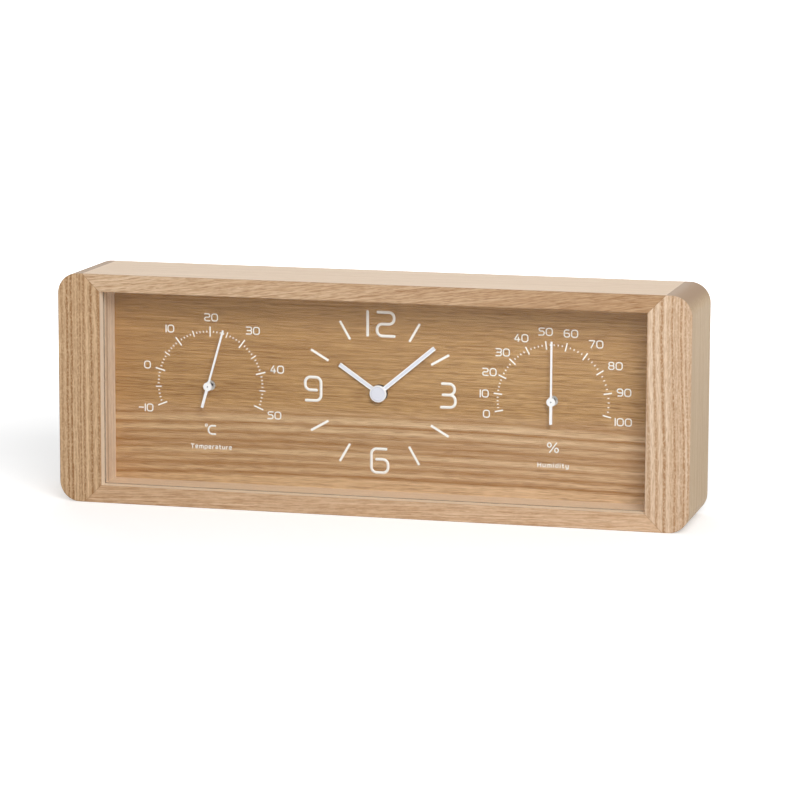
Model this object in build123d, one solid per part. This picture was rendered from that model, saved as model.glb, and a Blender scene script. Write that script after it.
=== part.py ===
from build123d import *
from math import cos, sin, radians
import os

# A long wooden desk clock with a thermometer on its left and a hygrometer on its right.
# X runs along the front, Y runs from the front to the back, Z is up.
# The origin is under the middle of the clock, on the surface it stands on.

# Whole clock
body_width = 310.0
body_height = 112.0
body_depth = 52.0
dial_centre_rise = 0.5  # from half the height up to the hands
gauge_inset = 48.8  # from the inner side of the frame to each gauge

# Wooden frame
side_thickness = 21.2
rail_thickness = 8.7
outer_corner_radius = 10.0
softened_edge = 0.6  # small round on the outer and front edges
glass_setback = 5.7  # from the front edge back to the glass
dial_setback = 22.6  # from the front edge back to the dial
dial_rebate = 3.0  # step that the dial board lies against
back_rebate = 9.0  # wider step in the two ends for the back board
overrun = 1.0  # how far a cutting shape runs past what it cuts
press_clearance = 0.02  # round pieces that are pushed or screwed into each other

# Glass
glass_thickness = 2.0
glass_bite = 2.5  # how far the pane enters each groove
glass_play = 0.1

# Dial board and the battens behind it
dial_thickness = 4.0
dial_play = 0.2
sleeve_hole_radius = 4.15
gauge_hole_radius = 2.5
batten_width = 6.0
batten_depth = 8.0

# Back board
back_thickness = 3.0
back_inset = 1.0
back_play = 0.3
window_margin = 4.0  # room round the movement
window_corner_radius = 5.0
vent_count = 7
vent_width = 2.6
vent_length = 34.0
vent_spacing = 6.0
back_screw_spacing = 36.0

# Wood screws
back_screw_head_radius = 3.0
back_screw_head_height = 0.9
back_screw_radius = 1.5
back_screw_grip = 12.0
small_screw_head_radius = 2.2
small_screw_head_height = 1.2
small_screw_radius = 1.2
small_screw_grip = 3.0
pilot_extra = 0.4  # a pilot hole runs this much deeper than its screw

# Hands, seen from the front: angles run clockwise from twelve
minute_hand_angle = 50.0
hour_shown = 10
hand_width = 2.1
hour_hand_length = 23.6
minute_hand_length = 36.0
hand_thickness = 0.4
hour_hand_rise = 1.2  # from the dial to the back of the hour hand
hand_spacing = 0.5
hour_boss_radius = 3.4
hour_boss_height = 0.7
minute_boss_radius = 3.2
cap_radius = 4.1
cap_thickness = 1.2
cap_edge_bevel = 0.35
cap_stem_radius = 0.75
cap_stem_length = 2.5
stem_well_extra = 0.5

# Shafts that carry the hands
sleeve_radius = 4.0
sleeve_recess = 0.4  # from the dial face back to the sleeve's end
hour_tube_radius = 2.6
minute_shaft_radius = 1.75
running_clearance = 0.05

# Movement case
case_rise = 28.0  # from the hands up to the top of the case
case_depth = 16.0
case_wall = 1.2
lid_thickness = 1.2
lid_lip_height = 1.0
lid_lip_width = 0.8
lid_play = 0.1
ear_length = 5.5
ear_width = 9.0
ear_thickness = 1.4

# Battery and its bay
cell_radius = 7.25
cell_length = 49.5
cell_nub_radius = 2.75
cell_nub_length = 1.0
cell_play = 0.2

# Wheel train: the layers lie one behind another
wheel_thickness = 0.9
layer_gap = 0.4
train_drop = 10.7  # from the hands down to the wall over the battery
arbor_radius = 0.5
pivot_depth = 0.8
hand_module = 0.4
hour_module = 0.32
centre_module = 0.25
third_module = 0.2
fourth_module = 0.18
fifth_module = 0.15
cannon_teeth = 12
minute_wheel_teeth = 36
minute_pinion_teeth = 12
hour_wheel_teeth = 48
knob_pinion_teeth = 12
centre_wheel_teeth = 64
third_pinion_teeth = 8
third_wheel_teeth = 60
fourth_pinion_teeth = 8
fourth_wheel_teeth = 60
fifth_pinion_teeth = 10
fifth_wheel_teeth = 60
rotor_pinion_teeth = 12
wheel_addendum_share = 0.7  # tooth shapes, in modules and in shares of the tooth spacing
wheel_dedendum_share = 1.05
wheel_root_share = 0.27
wheel_tip_share = 0.12
pinion_addendum_share = 0.7
pinion_dedendum_share = 1.0
pinion_root_share = 0.17
pinion_tip_share = 0.13
minute_wheel_angle = 150.0  # where each wheel lies from the one before it, in degrees
knob_angle = 125.0
third_angle = 10.0
fourth_angle = 75.0
fifth_angle = 150.0
rotor_angle = 90.0
stud_radius = 0.7
centre_seat_radius = 1.2
centre_pivot_radius = 0.6
clutch_thickness = 0.25
clutch_radius = 2.6

# Motor
magnet_radius = 2.4
magnet_thickness = 2.0
magnet_gap = 0.5
stator_thickness = 0.8
stator_half_height = 3.4
stator_reach = 12.1  # from the rotor to each end of the stator
stator_leg_width = 3.6
coil_height = 6.6  # from the rotor up to the coil
core_width = 2.6
core_play = 0.1
bobbin_wall = 0.4
bobbin_flange_radius = 2.6
bobbin_flange_thickness = 0.8
winding_thickness = 0.45
coil_screw_head_radius = 1.2
coil_screw_head_height = 0.7
coil_screw_radius = 0.6
coil_screw_grip = 2.0
motor_post_radius = 1.3

# Bridge that holds the back ends of the arbors
bridge_thickness = 0.8
bridge_rim = 1.2
bridge_gap = 0.6
pillar_radius = 0.9
pillar_pin_radius = 0.6
pillar_gap = 0.5  # between a pillar and the teeth beside it
lower_pillar_angle = -76.0
right_pillar_angle = 3.0
left_pillar_angle = 52.4

# Circuit board
board_motor_gap = 1.57
board_height = 8.4
board_thickness = 0.8
board_edge_gap = 1.6
board_post_inset = 2.8
board_post_radius = 1.2
crystal_radius = 1.0
crystal_length = 6.0
chip_radius = 2.2
chip_height = 0.8

# Battery contacts
contact_thickness = 0.3
contact_strip_width = 2.0
contact_plate_margin = 1.4
contact_tab_length = 2.4
contact_notch_gap = 0.4
leaf_bulge = 2.1  # how far the sprung contact bows towards the battery

# Setting knob
knob_shaft_radius = 1.2
knob_radius = 6.0
knob_height = 3.0
knob_gap = 0.5
knob_grip_count = 24
knob_grip_depth = 0.65
knob_grip_sides = 4  # each notch is a square on its corner
knob_hole_gap = 0.15

# Gauges: a cup behind the dial, a spindle, a coil and a needle
needle_rise = 5.0  # from the dial to the front of the needle's hub
needle_tip_length = 29.0
needle_tail_length = 10.8
needle_tip_width = 0.95
needle_tail_width = 1.35
needle_thickness = 0.3
needle_hub_radius = 2.1
needle_hub_thickness = 0.8
needle_setback = 0.3  # from the hub's front back to the blade
spindle_radius = 0.75
spindle_tip_radius = 0.28
spindle_collar_radius = 1.3
bush_play = 0.1
bush_bore_radius = 1.75
bush_bore_depth = 1.6
bush_recess = 0.1
cup_wall = 1.0
cup_depth = 11.0
cup_margin = 1.5
coil_front_gap = 2.6
coil_rear_gap = 1.6
coil_post_width = 2.4
coil_post_length = 2.5
spider_thickness = 1.0
spider_hub_radius = 2.6
spider_arm_width = 2.4
cup_ear_radius = 3.4
cup_ear_reach = 3.0
cup_ear_count = 3
first_ear_angle = 90.0
thermo_needle_angle = 15.8
thermo_strip_thickness = 0.4
thermo_strip_pitch = 2.6
thermo_half_turns = 7
hygro_needle_angle = 0.0
hygro_strip_thickness = 0.3
hygro_strip_pitch = 1.7
hygro_half_turns = 11

# Planes and places that follow from the sizes above
front_y = -body_depth / 2
rear_y = body_depth / 2
opening_half = body_width / 2 - side_thickness
opening_top = body_height - rail_thickness
dial_centre_height = body_height / 2 + dial_centre_rise
gauge_offset = opening_half - gauge_inset
glass_y = front_y + glass_setback
dial_y = front_y + dial_setback
dial_rear_y = dial_y + dial_thickness
back_rear_y = rear_y - back_inset
back_front_y = back_rear_y - back_thickness
batten_rear_y = dial_rear_y + batten_depth
case_half = (cell_length + cell_nub_length + leaf_bulge) / 2 + contact_thickness + cell_play + case_wall
case_rear_y = dial_rear_y + case_depth
inner_y = dial_rear_y + case_wall
lid_y = case_rear_y - lid_thickness
inner_half = case_half - case_wall
inner_top = case_rise - case_wall
train_floor = -train_drop
bay_top = train_floor - case_wall
cell_z = bay_top - cell_play - cell_radius
bay_floor = cell_z - cell_radius - cell_play
case_floor = bay_floor - case_wall
hour_hand_y = dial_y - hour_hand_rise - hand_thickness
minute_hand_y = hour_hand_y - hand_spacing - hand_thickness
cap_y = minute_hand_y - cap_thickness
hub_y = dial_y - needle_rise
hour_hand_angle = hour_shown * 360 / 12 + minute_hand_angle / 12


def layer(number):
    return inner_y + layer_gap + (number - 1) * (wheel_thickness + layer_gap)


def step_from(place, angle, distance):
    return (place[0] + distance * cos(radians(angle)), place[1] + distance * sin(radians(angle)))


def even_angles(first_angle, count):
    return [first_angle + number * 360 / count for number in range(count)]


def mesh_distance(teeth, other_teeth, module):
    return (teeth + other_teeth) * module / 2


# Wheel centres, measured from the hands
centre_at = (0.0, 0.0)
minute_wheel_at = step_from(centre_at, minute_wheel_angle,
                            mesh_distance(cannon_teeth, minute_wheel_teeth, hand_module))
knob_at = step_from(minute_wheel_at, knob_angle,
                    mesh_distance(minute_wheel_teeth, knob_pinion_teeth, hand_module))
third_at = step_from(centre_at, third_angle,
                     mesh_distance(centre_wheel_teeth, third_pinion_teeth, centre_module))
fourth_at = step_from(third_at, fourth_angle,
                      mesh_distance(third_wheel_teeth, fourth_pinion_teeth, third_module))
fifth_at = step_from(fourth_at, fifth_angle,
                     mesh_distance(fourth_wheel_teeth, fifth_pinion_teeth, fourth_module))
rotor_at = step_from(fifth_at, rotor_angle,
                     mesh_distance(fifth_wheel_teeth, rotor_pinion_teeth, fifth_module))

magnet_y = layer(7)
stator_y = magnet_y + (magnet_thickness - stator_thickness) / 2
core_y = stator_y + stator_thickness
coil_axis_y = core_y + stator_thickness / 2
coil_z = rotor_at[1] + coil_height
stator_left = rotor_at[0] - stator_reach
stator_right = rotor_at[0] + stator_reach
bridge_y = magnet_y + magnet_thickness + bridge_gap
bridge_rear_y = bridge_y + bridge_thickness
board_left = board_edge_gap - inner_half
board_right = stator_left - board_motor_gap
board_top = inner_top - contact_thickness - contact_notch_gap / 2
board_bottom = board_top - board_height
board_y = stator_y
board_rear_y = board_y + board_thickness
strip_y = board_rear_y - contact_notch_gap

# Pillars stand clear of the wheels beside them
wheel_reach = third_wheel_teeth * third_module / 2 + wheel_addendum_share * third_module
centre_reach = centre_wheel_teeth * centre_module / 2 + wheel_addendum_share * centre_module
minute_reach = minute_wheel_teeth * hand_module / 2 + wheel_addendum_share * hand_module
pillar_places = [
    step_from(centre_at, lower_pillar_angle, centre_reach + pillar_radius + pillar_gap),
    step_from(third_at, right_pillar_angle, wheel_reach + pillar_radius + pillar_gap),
    step_from(minute_wheel_at, left_pillar_angle, minute_reach + pillar_radius + pillar_gap),
]
motor_post_places = [
    (stator_left + stator_leg_width / 2, coil_z),
    (stator_right - stator_leg_width / 2, coil_z),
]
board_post_places = [
    (board_left + board_post_inset, (board_top + board_bottom) / 2),
    (board_right - board_post_inset, (board_top + board_bottom) / 2),
]
ear_hole_x = case_half + ear_length / 2


# Basic shapes: a sketch drawn on the front plane and given a depth along Y
def slab(sketch, front, back):
    return extrude(Plane.XZ.offset(-front) * sketch, amount=back - front, dir=(0, 1, 0))


def block(left, right, front, back, bottom, top):
    middle = Pos((left + right) / 2, (bottom + top) / 2)
    return slab(middle * Rectangle(right - left, top - bottom), front, back)


def disc(place, front, back, radius):
    return slab(Pos(*place) * Circle(radius), front, back)


def rod(y, z, left, right, radius):
    return extrude(Plane.YZ.offset(left) * (Pos(y, z) * Circle(radius)), amount=right - left)


def outline(points):
    return make_face(Polyline(*points, close=True))


def at_centre(part):
    return Pos(0, 0, dial_centre_height) * part


def screw(place, seat, head_radius, head_height, radius, grip):
    # driven in from the back: the head lies on the seat and the shank runs forwards
    return disc(place, seat, seat + head_height, head_radius) + disc(place, seat - grip, seat, radius)


# Wooden frame
def soften(part):
    # rounds the long front and rear edges, but not the joint faces
    edges = []
    for edge in part.edges():
        low, high = edge.bounding_box().min, edge.bounding_box().max
        on_face = abs(low.Y - high.Y) < softened_edge and abs(abs(low.Y) - rear_y) < softened_edge
        slanted = edge.geom_type == GeomType.LINE and abs(low.X - high.X) > softened_edge \
            and abs(low.Z - high.Z) > softened_edge
        if on_face and not slanted:
            edges.append(edge)
    return fillet(edges, softened_edge)


def glass_groove():
    half = opening_half + glass_bite + glass_play
    return block(-half, half, glass_y - glass_play, glass_y + glass_thickness + glass_play,
                 rail_thickness - glass_bite - glass_play, opening_top + glass_bite + glass_play)


def rear_steps():
    dial_half = opening_half + dial_rebate
    dial_step = block(-dial_half, dial_half, dial_y, rear_y + overrun,
                      rail_thickness - dial_rebate, opening_top + dial_rebate)
    back_half = opening_half + back_rebate
    back_step = block(-back_half, back_half, back_front_y, rear_y + overrun,
                      rail_thickness - dial_rebate, opening_top + dial_rebate)
    return dial_step + back_step


def frame_side(side):
    outer = body_width / 2
    mitre = opening_half + rail_thickness
    shape = outline([(opening_half, rail_thickness), (mitre, 0), (outer, 0), (outer, body_height),
                     (mitre, body_height), (opening_half, opening_top)])
    shape = fillet(shape.vertices().group_by(Axis.X)[-1], outer_corner_radius)
    member = soften(slab(shape, front_y, rear_y)) - glass_groove() - rear_steps()
    for z in back_screw_heights():
        member -= disc((back_screw_x(), z), back_rear_y - back_screw_grip - pilot_extra,
                       back_front_y, back_screw_radius + press_clearance)
    return member if side > 0 else mirror(member, Plane.YZ)


def frame_rail(top):
    mitre = opening_half + rail_thickness
    shape = outline([(-mitre, 0), (mitre, 0), (opening_half, rail_thickness),
                     (-opening_half, rail_thickness)])
    rail = soften(slab(shape, front_y, rear_y))
    if top:
        rail = mirror(rail, Plane.XY.offset(body_height / 2))
    return rail - glass_groove() - rear_steps()


# Glass, dial board and battens
def front_glass():
    half = opening_half + glass_bite
    return block(-half, half, glass_y, glass_y + glass_thickness,
                 rail_thickness - glass_bite, opening_top + glass_bite)


def gauge_ear_places(half_turns, pitch, thickness):
    reach = cup_radius(half_turns, pitch, thickness) + cup_ear_reach
    return [step_from((0, 0), angle, reach) for angle in even_angles(first_ear_angle, cup_ear_count)]


def dial_panel():
    half = opening_half + dial_rebate - dial_play
    panel = block(-half, half, dial_y, dial_rear_y,
                  rail_thickness - dial_rebate + dial_play, opening_top + dial_rebate - dial_play)
    panel -= at_centre(disc(centre_at, dial_y - overrun, dial_rear_y + overrun, sleeve_hole_radius))
    pilots = [(side * ear_hole_x, 0) for side in (-1, 1)]
    for side, half_turns, pitch, thickness in gauges:
        middle = (side * gauge_offset, 0)
        panel -= at_centre(disc(middle, dial_y - overrun, dial_rear_y + overrun, gauge_hole_radius))
        for x, z in gauge_ear_places(half_turns, pitch, thickness):
            pilots.append((middle[0] + x, z))
    for place in pilots:
        panel -= at_centre(disc(place, dial_rear_y - small_screw_grip - pilot_extra, dial_rear_y + overrun,
                                small_screw_radius + press_clearance))
    return panel


def dial_batten_long(top):
    half = opening_half + dial_rebate
    if top:
        high = opening_top + dial_rebate
        return block(-half, half, dial_rear_y, batten_rear_y, high - batten_width, high)
    low = rail_thickness - dial_rebate
    return block(-half, half, dial_rear_y, batten_rear_y, low, low + batten_width)


def dial_batten_short(side):
    outer = opening_half + dial_rebate
    low = rail_thickness - dial_rebate + batten_width
    high = opening_top + dial_rebate - batten_width
    batten = block(outer - batten_width, outer, dial_rear_y, batten_rear_y, low, high)
    return batten if side > 0 else mirror(batten, Plane.YZ)


# Back board and its screws
def back_screw_x():
    return opening_half + (dial_rebate + back_rebate) / 2


def back_screw_heights():
    return [body_height / 2 + row * back_screw_spacing for row in (-1, 0, 1)]


def back_panel():
    half = opening_half + back_rebate - back_play
    panel = block(-half, half, back_front_y, back_rear_y,
                  rail_thickness - dial_rebate + back_play, opening_top + dial_rebate - back_play)
    window = RectangleRounded((case_half + window_margin + ear_length) * 2,
                              case_rise - case_floor + window_margin * 2, window_corner_radius)
    panel -= at_centre(slab(Pos(0, (case_rise + case_floor) / 2) * window,
                            back_front_y - overrun, back_rear_y + overrun))
    slot = Rot(0, 0, 90) * SlotOverall(vent_length, vent_width)
    for side in (-1, 1):
        for number in range(vent_count):
            x = side * gauge_offset + (number - (vent_count - 1) / 2) * vent_spacing
            panel -= at_centre(slab(Pos(x, 0) * slot, back_front_y - overrun, back_rear_y + overrun))
        for z in back_screw_heights():
            panel -= disc((side * back_screw_x(), z), back_front_y - overrun, back_rear_y + overrun,
                          back_screw_radius + press_clearance)
    return panel


def back_screws():
    places = [(side * back_screw_x(), z) for side in (-1, 1) for z in back_screw_heights()]
    return group([screw(place, back_rear_y, back_screw_head_radius, back_screw_head_height,
                        back_screw_radius, back_screw_grip) for place in places])


def group(solids):
    return Compound(children=list(solids))


# Gear teeth
def gear_outline(teeth, module, first_tooth, addendum, dedendum, root_share, tip_share):
    root = module * (teeth / 2 - dedendum)
    tip = module * (teeth / 2 + addendum)
    spacing = 360 / teeth
    points = []
    for number in range(teeth):
        middle = first_tooth + number * spacing
        for radius, share in ((root, -root_share), (tip, -tip_share), (tip, tip_share), (root, root_share)):
            points.append(step_from((0, 0), middle + share * spacing, radius))
    return outline(points)


def wheel(place, teeth, module, first_tooth, front):
    shape = gear_outline(teeth, module, first_tooth, wheel_addendum_share, wheel_dedendum_share,
                         wheel_root_share, wheel_tip_share)
    return slab(Pos(*place) * shape, front, front + wheel_thickness)


def pinion(place, teeth, module, first_tooth, front):
    shape = gear_outline(teeth, module, first_tooth, pinion_addendum_share, pinion_dedendum_share,
                         pinion_root_share, pinion_tip_share)
    return slab(Pos(*place) * shape, front, front + wheel_thickness)


def mating_tooth(angle, first_tooth, teeth, other_teeth):
    # where the second gear has a tooth, so that its gap meets the first gear's tooth
    lead = (first_tooth - angle) % (360 / teeth)
    return angle + 360 / 2 - lead * teeth / other_teeth + 360 / other_teeth / 2


# Each first tooth follows from the gear that it meshes with
cannon_tooth = minute_wheel_angle
minute_wheel_tooth = mating_tooth(minute_wheel_angle, cannon_tooth, cannon_teeth, minute_wheel_teeth)
knob_tooth = mating_tooth(knob_angle, minute_wheel_tooth, minute_wheel_teeth, knob_pinion_teeth)
minute_pinion_tooth = minute_wheel_angle + 360 / 2
hour_wheel_tooth = mating_tooth(minute_wheel_angle + 360 / 2, minute_pinion_tooth,
                                minute_pinion_teeth, hour_wheel_teeth)
centre_wheel_tooth = third_angle
third_pinion_tooth = mating_tooth(third_angle, centre_wheel_tooth, centre_wheel_teeth,
                                  third_pinion_teeth)
third_wheel_tooth = fourth_angle
fourth_pinion_tooth = mating_tooth(fourth_angle, third_wheel_tooth, third_wheel_teeth,
                                   fourth_pinion_teeth)
fourth_wheel_tooth = fifth_angle
fifth_pinion_tooth = mating_tooth(fifth_angle, fourth_wheel_tooth, fourth_wheel_teeth,
                                  fifth_pinion_teeth)
fifth_wheel_tooth = rotor_angle
rotor_pinion_tooth = mating_tooth(rotor_angle, fifth_wheel_tooth, fifth_wheel_teeth,
                                  rotor_pinion_teeth)


# Hands and their shafts
def hand(angle, length, boss_radius, front):
    blade = Pos(0, length / 2) * Rectangle(hand_width, length)
    shape = Rot(0, 0, -angle) * blade + Circle(boss_radius)
    return slab(shape, front, front + hand_thickness)


def hour_hand():
    boss_front = hour_hand_y + hand_thickness
    body = hand(hour_hand_angle, hour_hand_length, hour_boss_radius, hour_hand_y)
    body += disc(centre_at, boss_front, boss_front + hour_boss_height, hour_boss_radius)
    return at_centre(body - disc(centre_at, hour_hand_y - overrun, dial_y,
                                 hour_tube_radius + press_clearance))


def minute_hand():
    body = hand(minute_hand_angle, minute_hand_length, minute_boss_radius, minute_hand_y)
    return at_centre(body - disc(centre_at, minute_hand_y - overrun, dial_y,
                                 minute_shaft_radius + press_clearance))


def hand_cap():
    cap = disc(centre_at, cap_y, minute_hand_y, cap_radius)
    cap = chamfer(cap.edges().group_by(Axis.Y)[0], cap_edge_bevel)
    cap += disc(centre_at, minute_hand_y, minute_hand_y + cap_stem_length, cap_stem_radius)
    return at_centre(cap)


def centre_arbor():
    shaft_rear = layer(2) + wheel_thickness
    seat_rear = layer(3) + wheel_thickness + running_clearance + clutch_thickness
    shaft = disc(centre_at, minute_hand_y, shaft_rear, minute_shaft_radius)
    shaft -= disc(centre_at, minute_hand_y, minute_hand_y + cap_stem_length + stem_well_extra,
                  cap_stem_radius + press_clearance)
    shaft += pinion(centre_at, cannon_teeth, hand_module, cannon_tooth, layer(2))
    shaft += disc(centre_at, shaft_rear, seat_rear, centre_seat_radius)
    shaft += disc(centre_at, seat_rear, bridge_rear_y, centre_pivot_radius)
    return at_centre(shaft)


def clutch_spring():
    front = layer(3) + wheel_thickness + running_clearance
    washer = disc(centre_at, front, front + clutch_thickness, clutch_radius)
    return at_centre(washer - disc(centre_at, front, front + clutch_thickness,
                                   centre_seat_radius + press_clearance))


def hour_wheel():
    body = wheel(centre_at, hour_wheel_teeth, hour_module, hour_wheel_tooth, layer(1))
    body += disc(centre_at, hour_hand_y, layer(1) + wheel_thickness, hour_tube_radius)
    bore = disc(centre_at, hour_hand_y, layer(2), minute_shaft_radius + running_clearance)
    return at_centre(body - bore)


def minute_wheel():
    body = wheel(minute_wheel_at, minute_wheel_teeth, hand_module, minute_wheel_tooth, layer(2))
    body += pinion(minute_wheel_at, minute_pinion_teeth, hour_module, minute_pinion_tooth, layer(1))
    body += disc(minute_wheel_at, layer(1), layer(2), hour_module * (minute_pinion_teeth / 2 - 1))
    return at_centre(body - disc(minute_wheel_at, layer(1), layer(3), stud_radius + running_clearance))


# Going train
def train_arbor(place):
    return disc(place, inner_y - pivot_depth, bridge_rear_y, arbor_radius)


def centre_wheel():
    body = wheel(centre_at, centre_wheel_teeth, centre_module, centre_wheel_tooth, layer(3))
    return at_centre(body - disc(centre_at, layer(3), layer(4), centre_seat_radius + running_clearance))


def third_wheel():
    return at_centre(train_arbor(third_at)
                     + pinion(third_at, third_pinion_teeth, centre_module, third_pinion_tooth, layer(3))
                     + wheel(third_at, third_wheel_teeth, third_module, third_wheel_tooth, layer(4)))


def fourth_wheel():
    return at_centre(train_arbor(fourth_at)
                     + pinion(fourth_at, fourth_pinion_teeth, third_module, fourth_pinion_tooth, layer(4))
                     + wheel(fourth_at, fourth_wheel_teeth, fourth_module, fourth_wheel_tooth, layer(5)))


def fifth_wheel():
    return at_centre(train_arbor(fifth_at)
                     + pinion(fifth_at, fifth_pinion_teeth, fourth_module, fifth_pinion_tooth, layer(5))
                     + wheel(fifth_at, fifth_wheel_teeth, fifth_module, fifth_wheel_tooth, layer(6)))


def rotor():
    return at_centre(train_arbor(rotor_at)
                     + pinion(rotor_at, rotor_pinion_teeth, fifth_module, rotor_pinion_tooth, layer(6)))


def rotor_magnet():
    ring = disc(rotor_at, magnet_y, magnet_y + magnet_thickness, magnet_radius)
    return at_centre(ring - disc(rotor_at, magnet_y, magnet_y + magnet_thickness,
                                 arbor_radius + press_clearance))


def train_bridge():
    circles = [Pos(*place) * Circle(bridge_rim) for place in pillar_places + [rotor_at]]
    plate = slab(make_hull([edge for circle in circles for edge in circle.edges()]), bridge_y, bridge_rear_y)
    holes = [(place, arbor_radius) for place in (third_at, fourth_at, fifth_at, rotor_at)]
    holes.append((centre_at, centre_pivot_radius))
    for place, radius in holes:
        plate -= disc(place, bridge_y, bridge_rear_y, radius + running_clearance)
    for place in pillar_places:
        plate -= disc(place, bridge_y, bridge_rear_y, pillar_pin_radius + press_clearance)
    return at_centre(plate)


# Motor
def stator():
    x, z = rotor_at
    low = z - stator_half_height
    top = coil_z + core_width / 2
    plate = block(stator_left, stator_right, stator_y, core_y, low, z + stator_half_height)
    plate += block(stator_left, stator_left + stator_leg_width, stator_y, core_y, low, top)
    plate += block(stator_right - stator_leg_width, stator_right, stator_y, core_y, low, top)
    plate -= disc(rotor_at, stator_y, core_y, magnet_radius + magnet_gap)
    for place in motor_post_places:
        plate -= disc(place, stator_y, core_y, coil_screw_radius + press_clearance)
    return at_centre(plate)


def coil_core():
    core = block(stator_left, stator_right, core_y, core_y + stator_thickness,
                 coil_z - core_width / 2, coil_z + core_width / 2)
    for place in motor_post_places:
        core -= disc(place, core_y, core_y + stator_thickness, coil_screw_radius + press_clearance)
    return at_centre(core)


def bobbin_radius():
    return ((core_width / 2 + core_play) ** 2 + (stator_thickness / 2 + core_play) ** 2) ** 0.5 + bobbin_wall


def coil_bobbin():
    left = stator_left + stator_leg_width + bobbin_flange_thickness
    right = stator_right - stator_leg_width - bobbin_flange_thickness
    body = rod(coil_axis_y, coil_z, left, right, bobbin_radius())
    body += rod(coil_axis_y, coil_z, left, left + bobbin_flange_thickness, bobbin_flange_radius)
    body += rod(coil_axis_y, coil_z, right - bobbin_flange_thickness, right, bobbin_flange_radius)
    slot = block(left, right, core_y - core_play, core_y + stator_thickness + core_play,
                 coil_z - core_width / 2 - core_play, coil_z + core_width / 2 + core_play)
    return at_centre(body - slot)


def coil_winding():
    left = stator_left + stator_leg_width + bobbin_flange_thickness * 2
    right = stator_right - stator_leg_width - bobbin_flange_thickness * 2
    body = rod(coil_axis_y, coil_z, left, right, bobbin_radius() + winding_thickness)
    return at_centre(body - rod(coil_axis_y, coil_z, left, right, bobbin_radius() + press_clearance))


def coil_screws():
    seat = core_y + stator_thickness
    grip = stator_thickness * 2 + coil_screw_grip
    return group([at_centre(screw(place, seat, coil_screw_head_radius, coil_screw_head_height,
                                  coil_screw_radius, grip)) for place in motor_post_places])


# Circuit board
def circuit_board():
    return at_centre(block(board_left, board_right, board_y, board_rear_y, board_bottom, board_top))


def quartz_crystal():
    z = board_bottom + crystal_radius * 2
    left = board_left + contact_tab_length + crystal_radius
    return at_centre(rod(board_rear_y + crystal_radius, z, left, left + crystal_length, crystal_radius))


def clock_chip():
    place = ((board_left + board_right) / 2, (board_top + board_bottom) / 2 + chip_radius / 2)
    cap = disc(place, board_rear_y, board_rear_y + chip_height, chip_radius)
    return at_centre(chamfer(cap.edges().group_by(Axis.Y)[-1], chip_height / 2))


# Battery and contacts
def cell_y():
    return inner_y + cell_play + cell_radius


def cell_left():
    return leaf_bulge + contact_thickness + cell_play - inner_half


def battery():
    left = cell_left()
    right = left + cell_length
    return at_centre(rod(cell_y(), cell_z, left, right, cell_radius)
                     + rod(cell_y(), cell_z, right, right + cell_nub_length, cell_nub_radius))


def contact_plate_span():
    return cell_z - cell_radius + contact_plate_margin, bay_top - contact_plate_margin


def contact_negative():
    left = -inner_half
    low, high = contact_plate_span()
    rear = lid_y - lid_lip_height - contact_strip_width / 2
    plate = block(left, left + contact_thickness, inner_y, rear, low, high)
    strip = block(left, left + contact_thickness, strip_y, strip_y + contact_strip_width, low,
                  board_bottom + contact_tab_length)
    tab = block(left, board_left + contact_tab_length, board_rear_y, board_rear_y + contact_thickness,
                board_bottom, board_bottom + contact_tab_length)
    # the sprung leaf bows out from the plate to press on the flat end of the battery
    seat = left + contact_thickness
    bow = seat + leaf_bulge - contact_thickness
    outer = ThreePointArc((seat, low), (bow + contact_thickness, cell_z), (seat, high))
    inner = ThreePointArc((seat, high - contact_thickness * 2), (bow, cell_z),
                          (seat, low + contact_thickness * 2))
    ends = [Line(outer @ 1, inner @ 0), Line(inner @ 1, outer @ 0)]
    middle = cell_y() - contact_strip_width
    leaf = slab(make_face([outer, inner] + ends), middle, middle + contact_strip_width * 2)
    return at_centre(plate + strip + tab + leaf)


def contact_positive():
    right = inner_half
    low, high = contact_plate_span()
    rear = lid_y - lid_lip_height - contact_strip_width / 2
    plate = block(right - contact_thickness, right, inner_y, rear, low, high)
    front, back = strip_y, strip_y + contact_strip_width
    upright = block(right - contact_thickness, right, front, back, low, inner_top)
    across = block(board_right - contact_tab_length, right, front, back,
                   inner_top - contact_thickness, inner_top)
    tab = block(board_right - contact_tab_length, board_right, board_rear_y,
                board_rear_y + contact_thickness, board_top - contact_tab_length, inner_top)
    return at_centre(plate + upright + across + tab)


# Movement case
def ear_shape(side):
    plate = Pos(side * ear_length / 2, 0) * Rectangle(ear_length, ear_width)
    return Pos(side * case_half, 0) * fillet(plate.vertices(), ear_length / 4)


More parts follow.
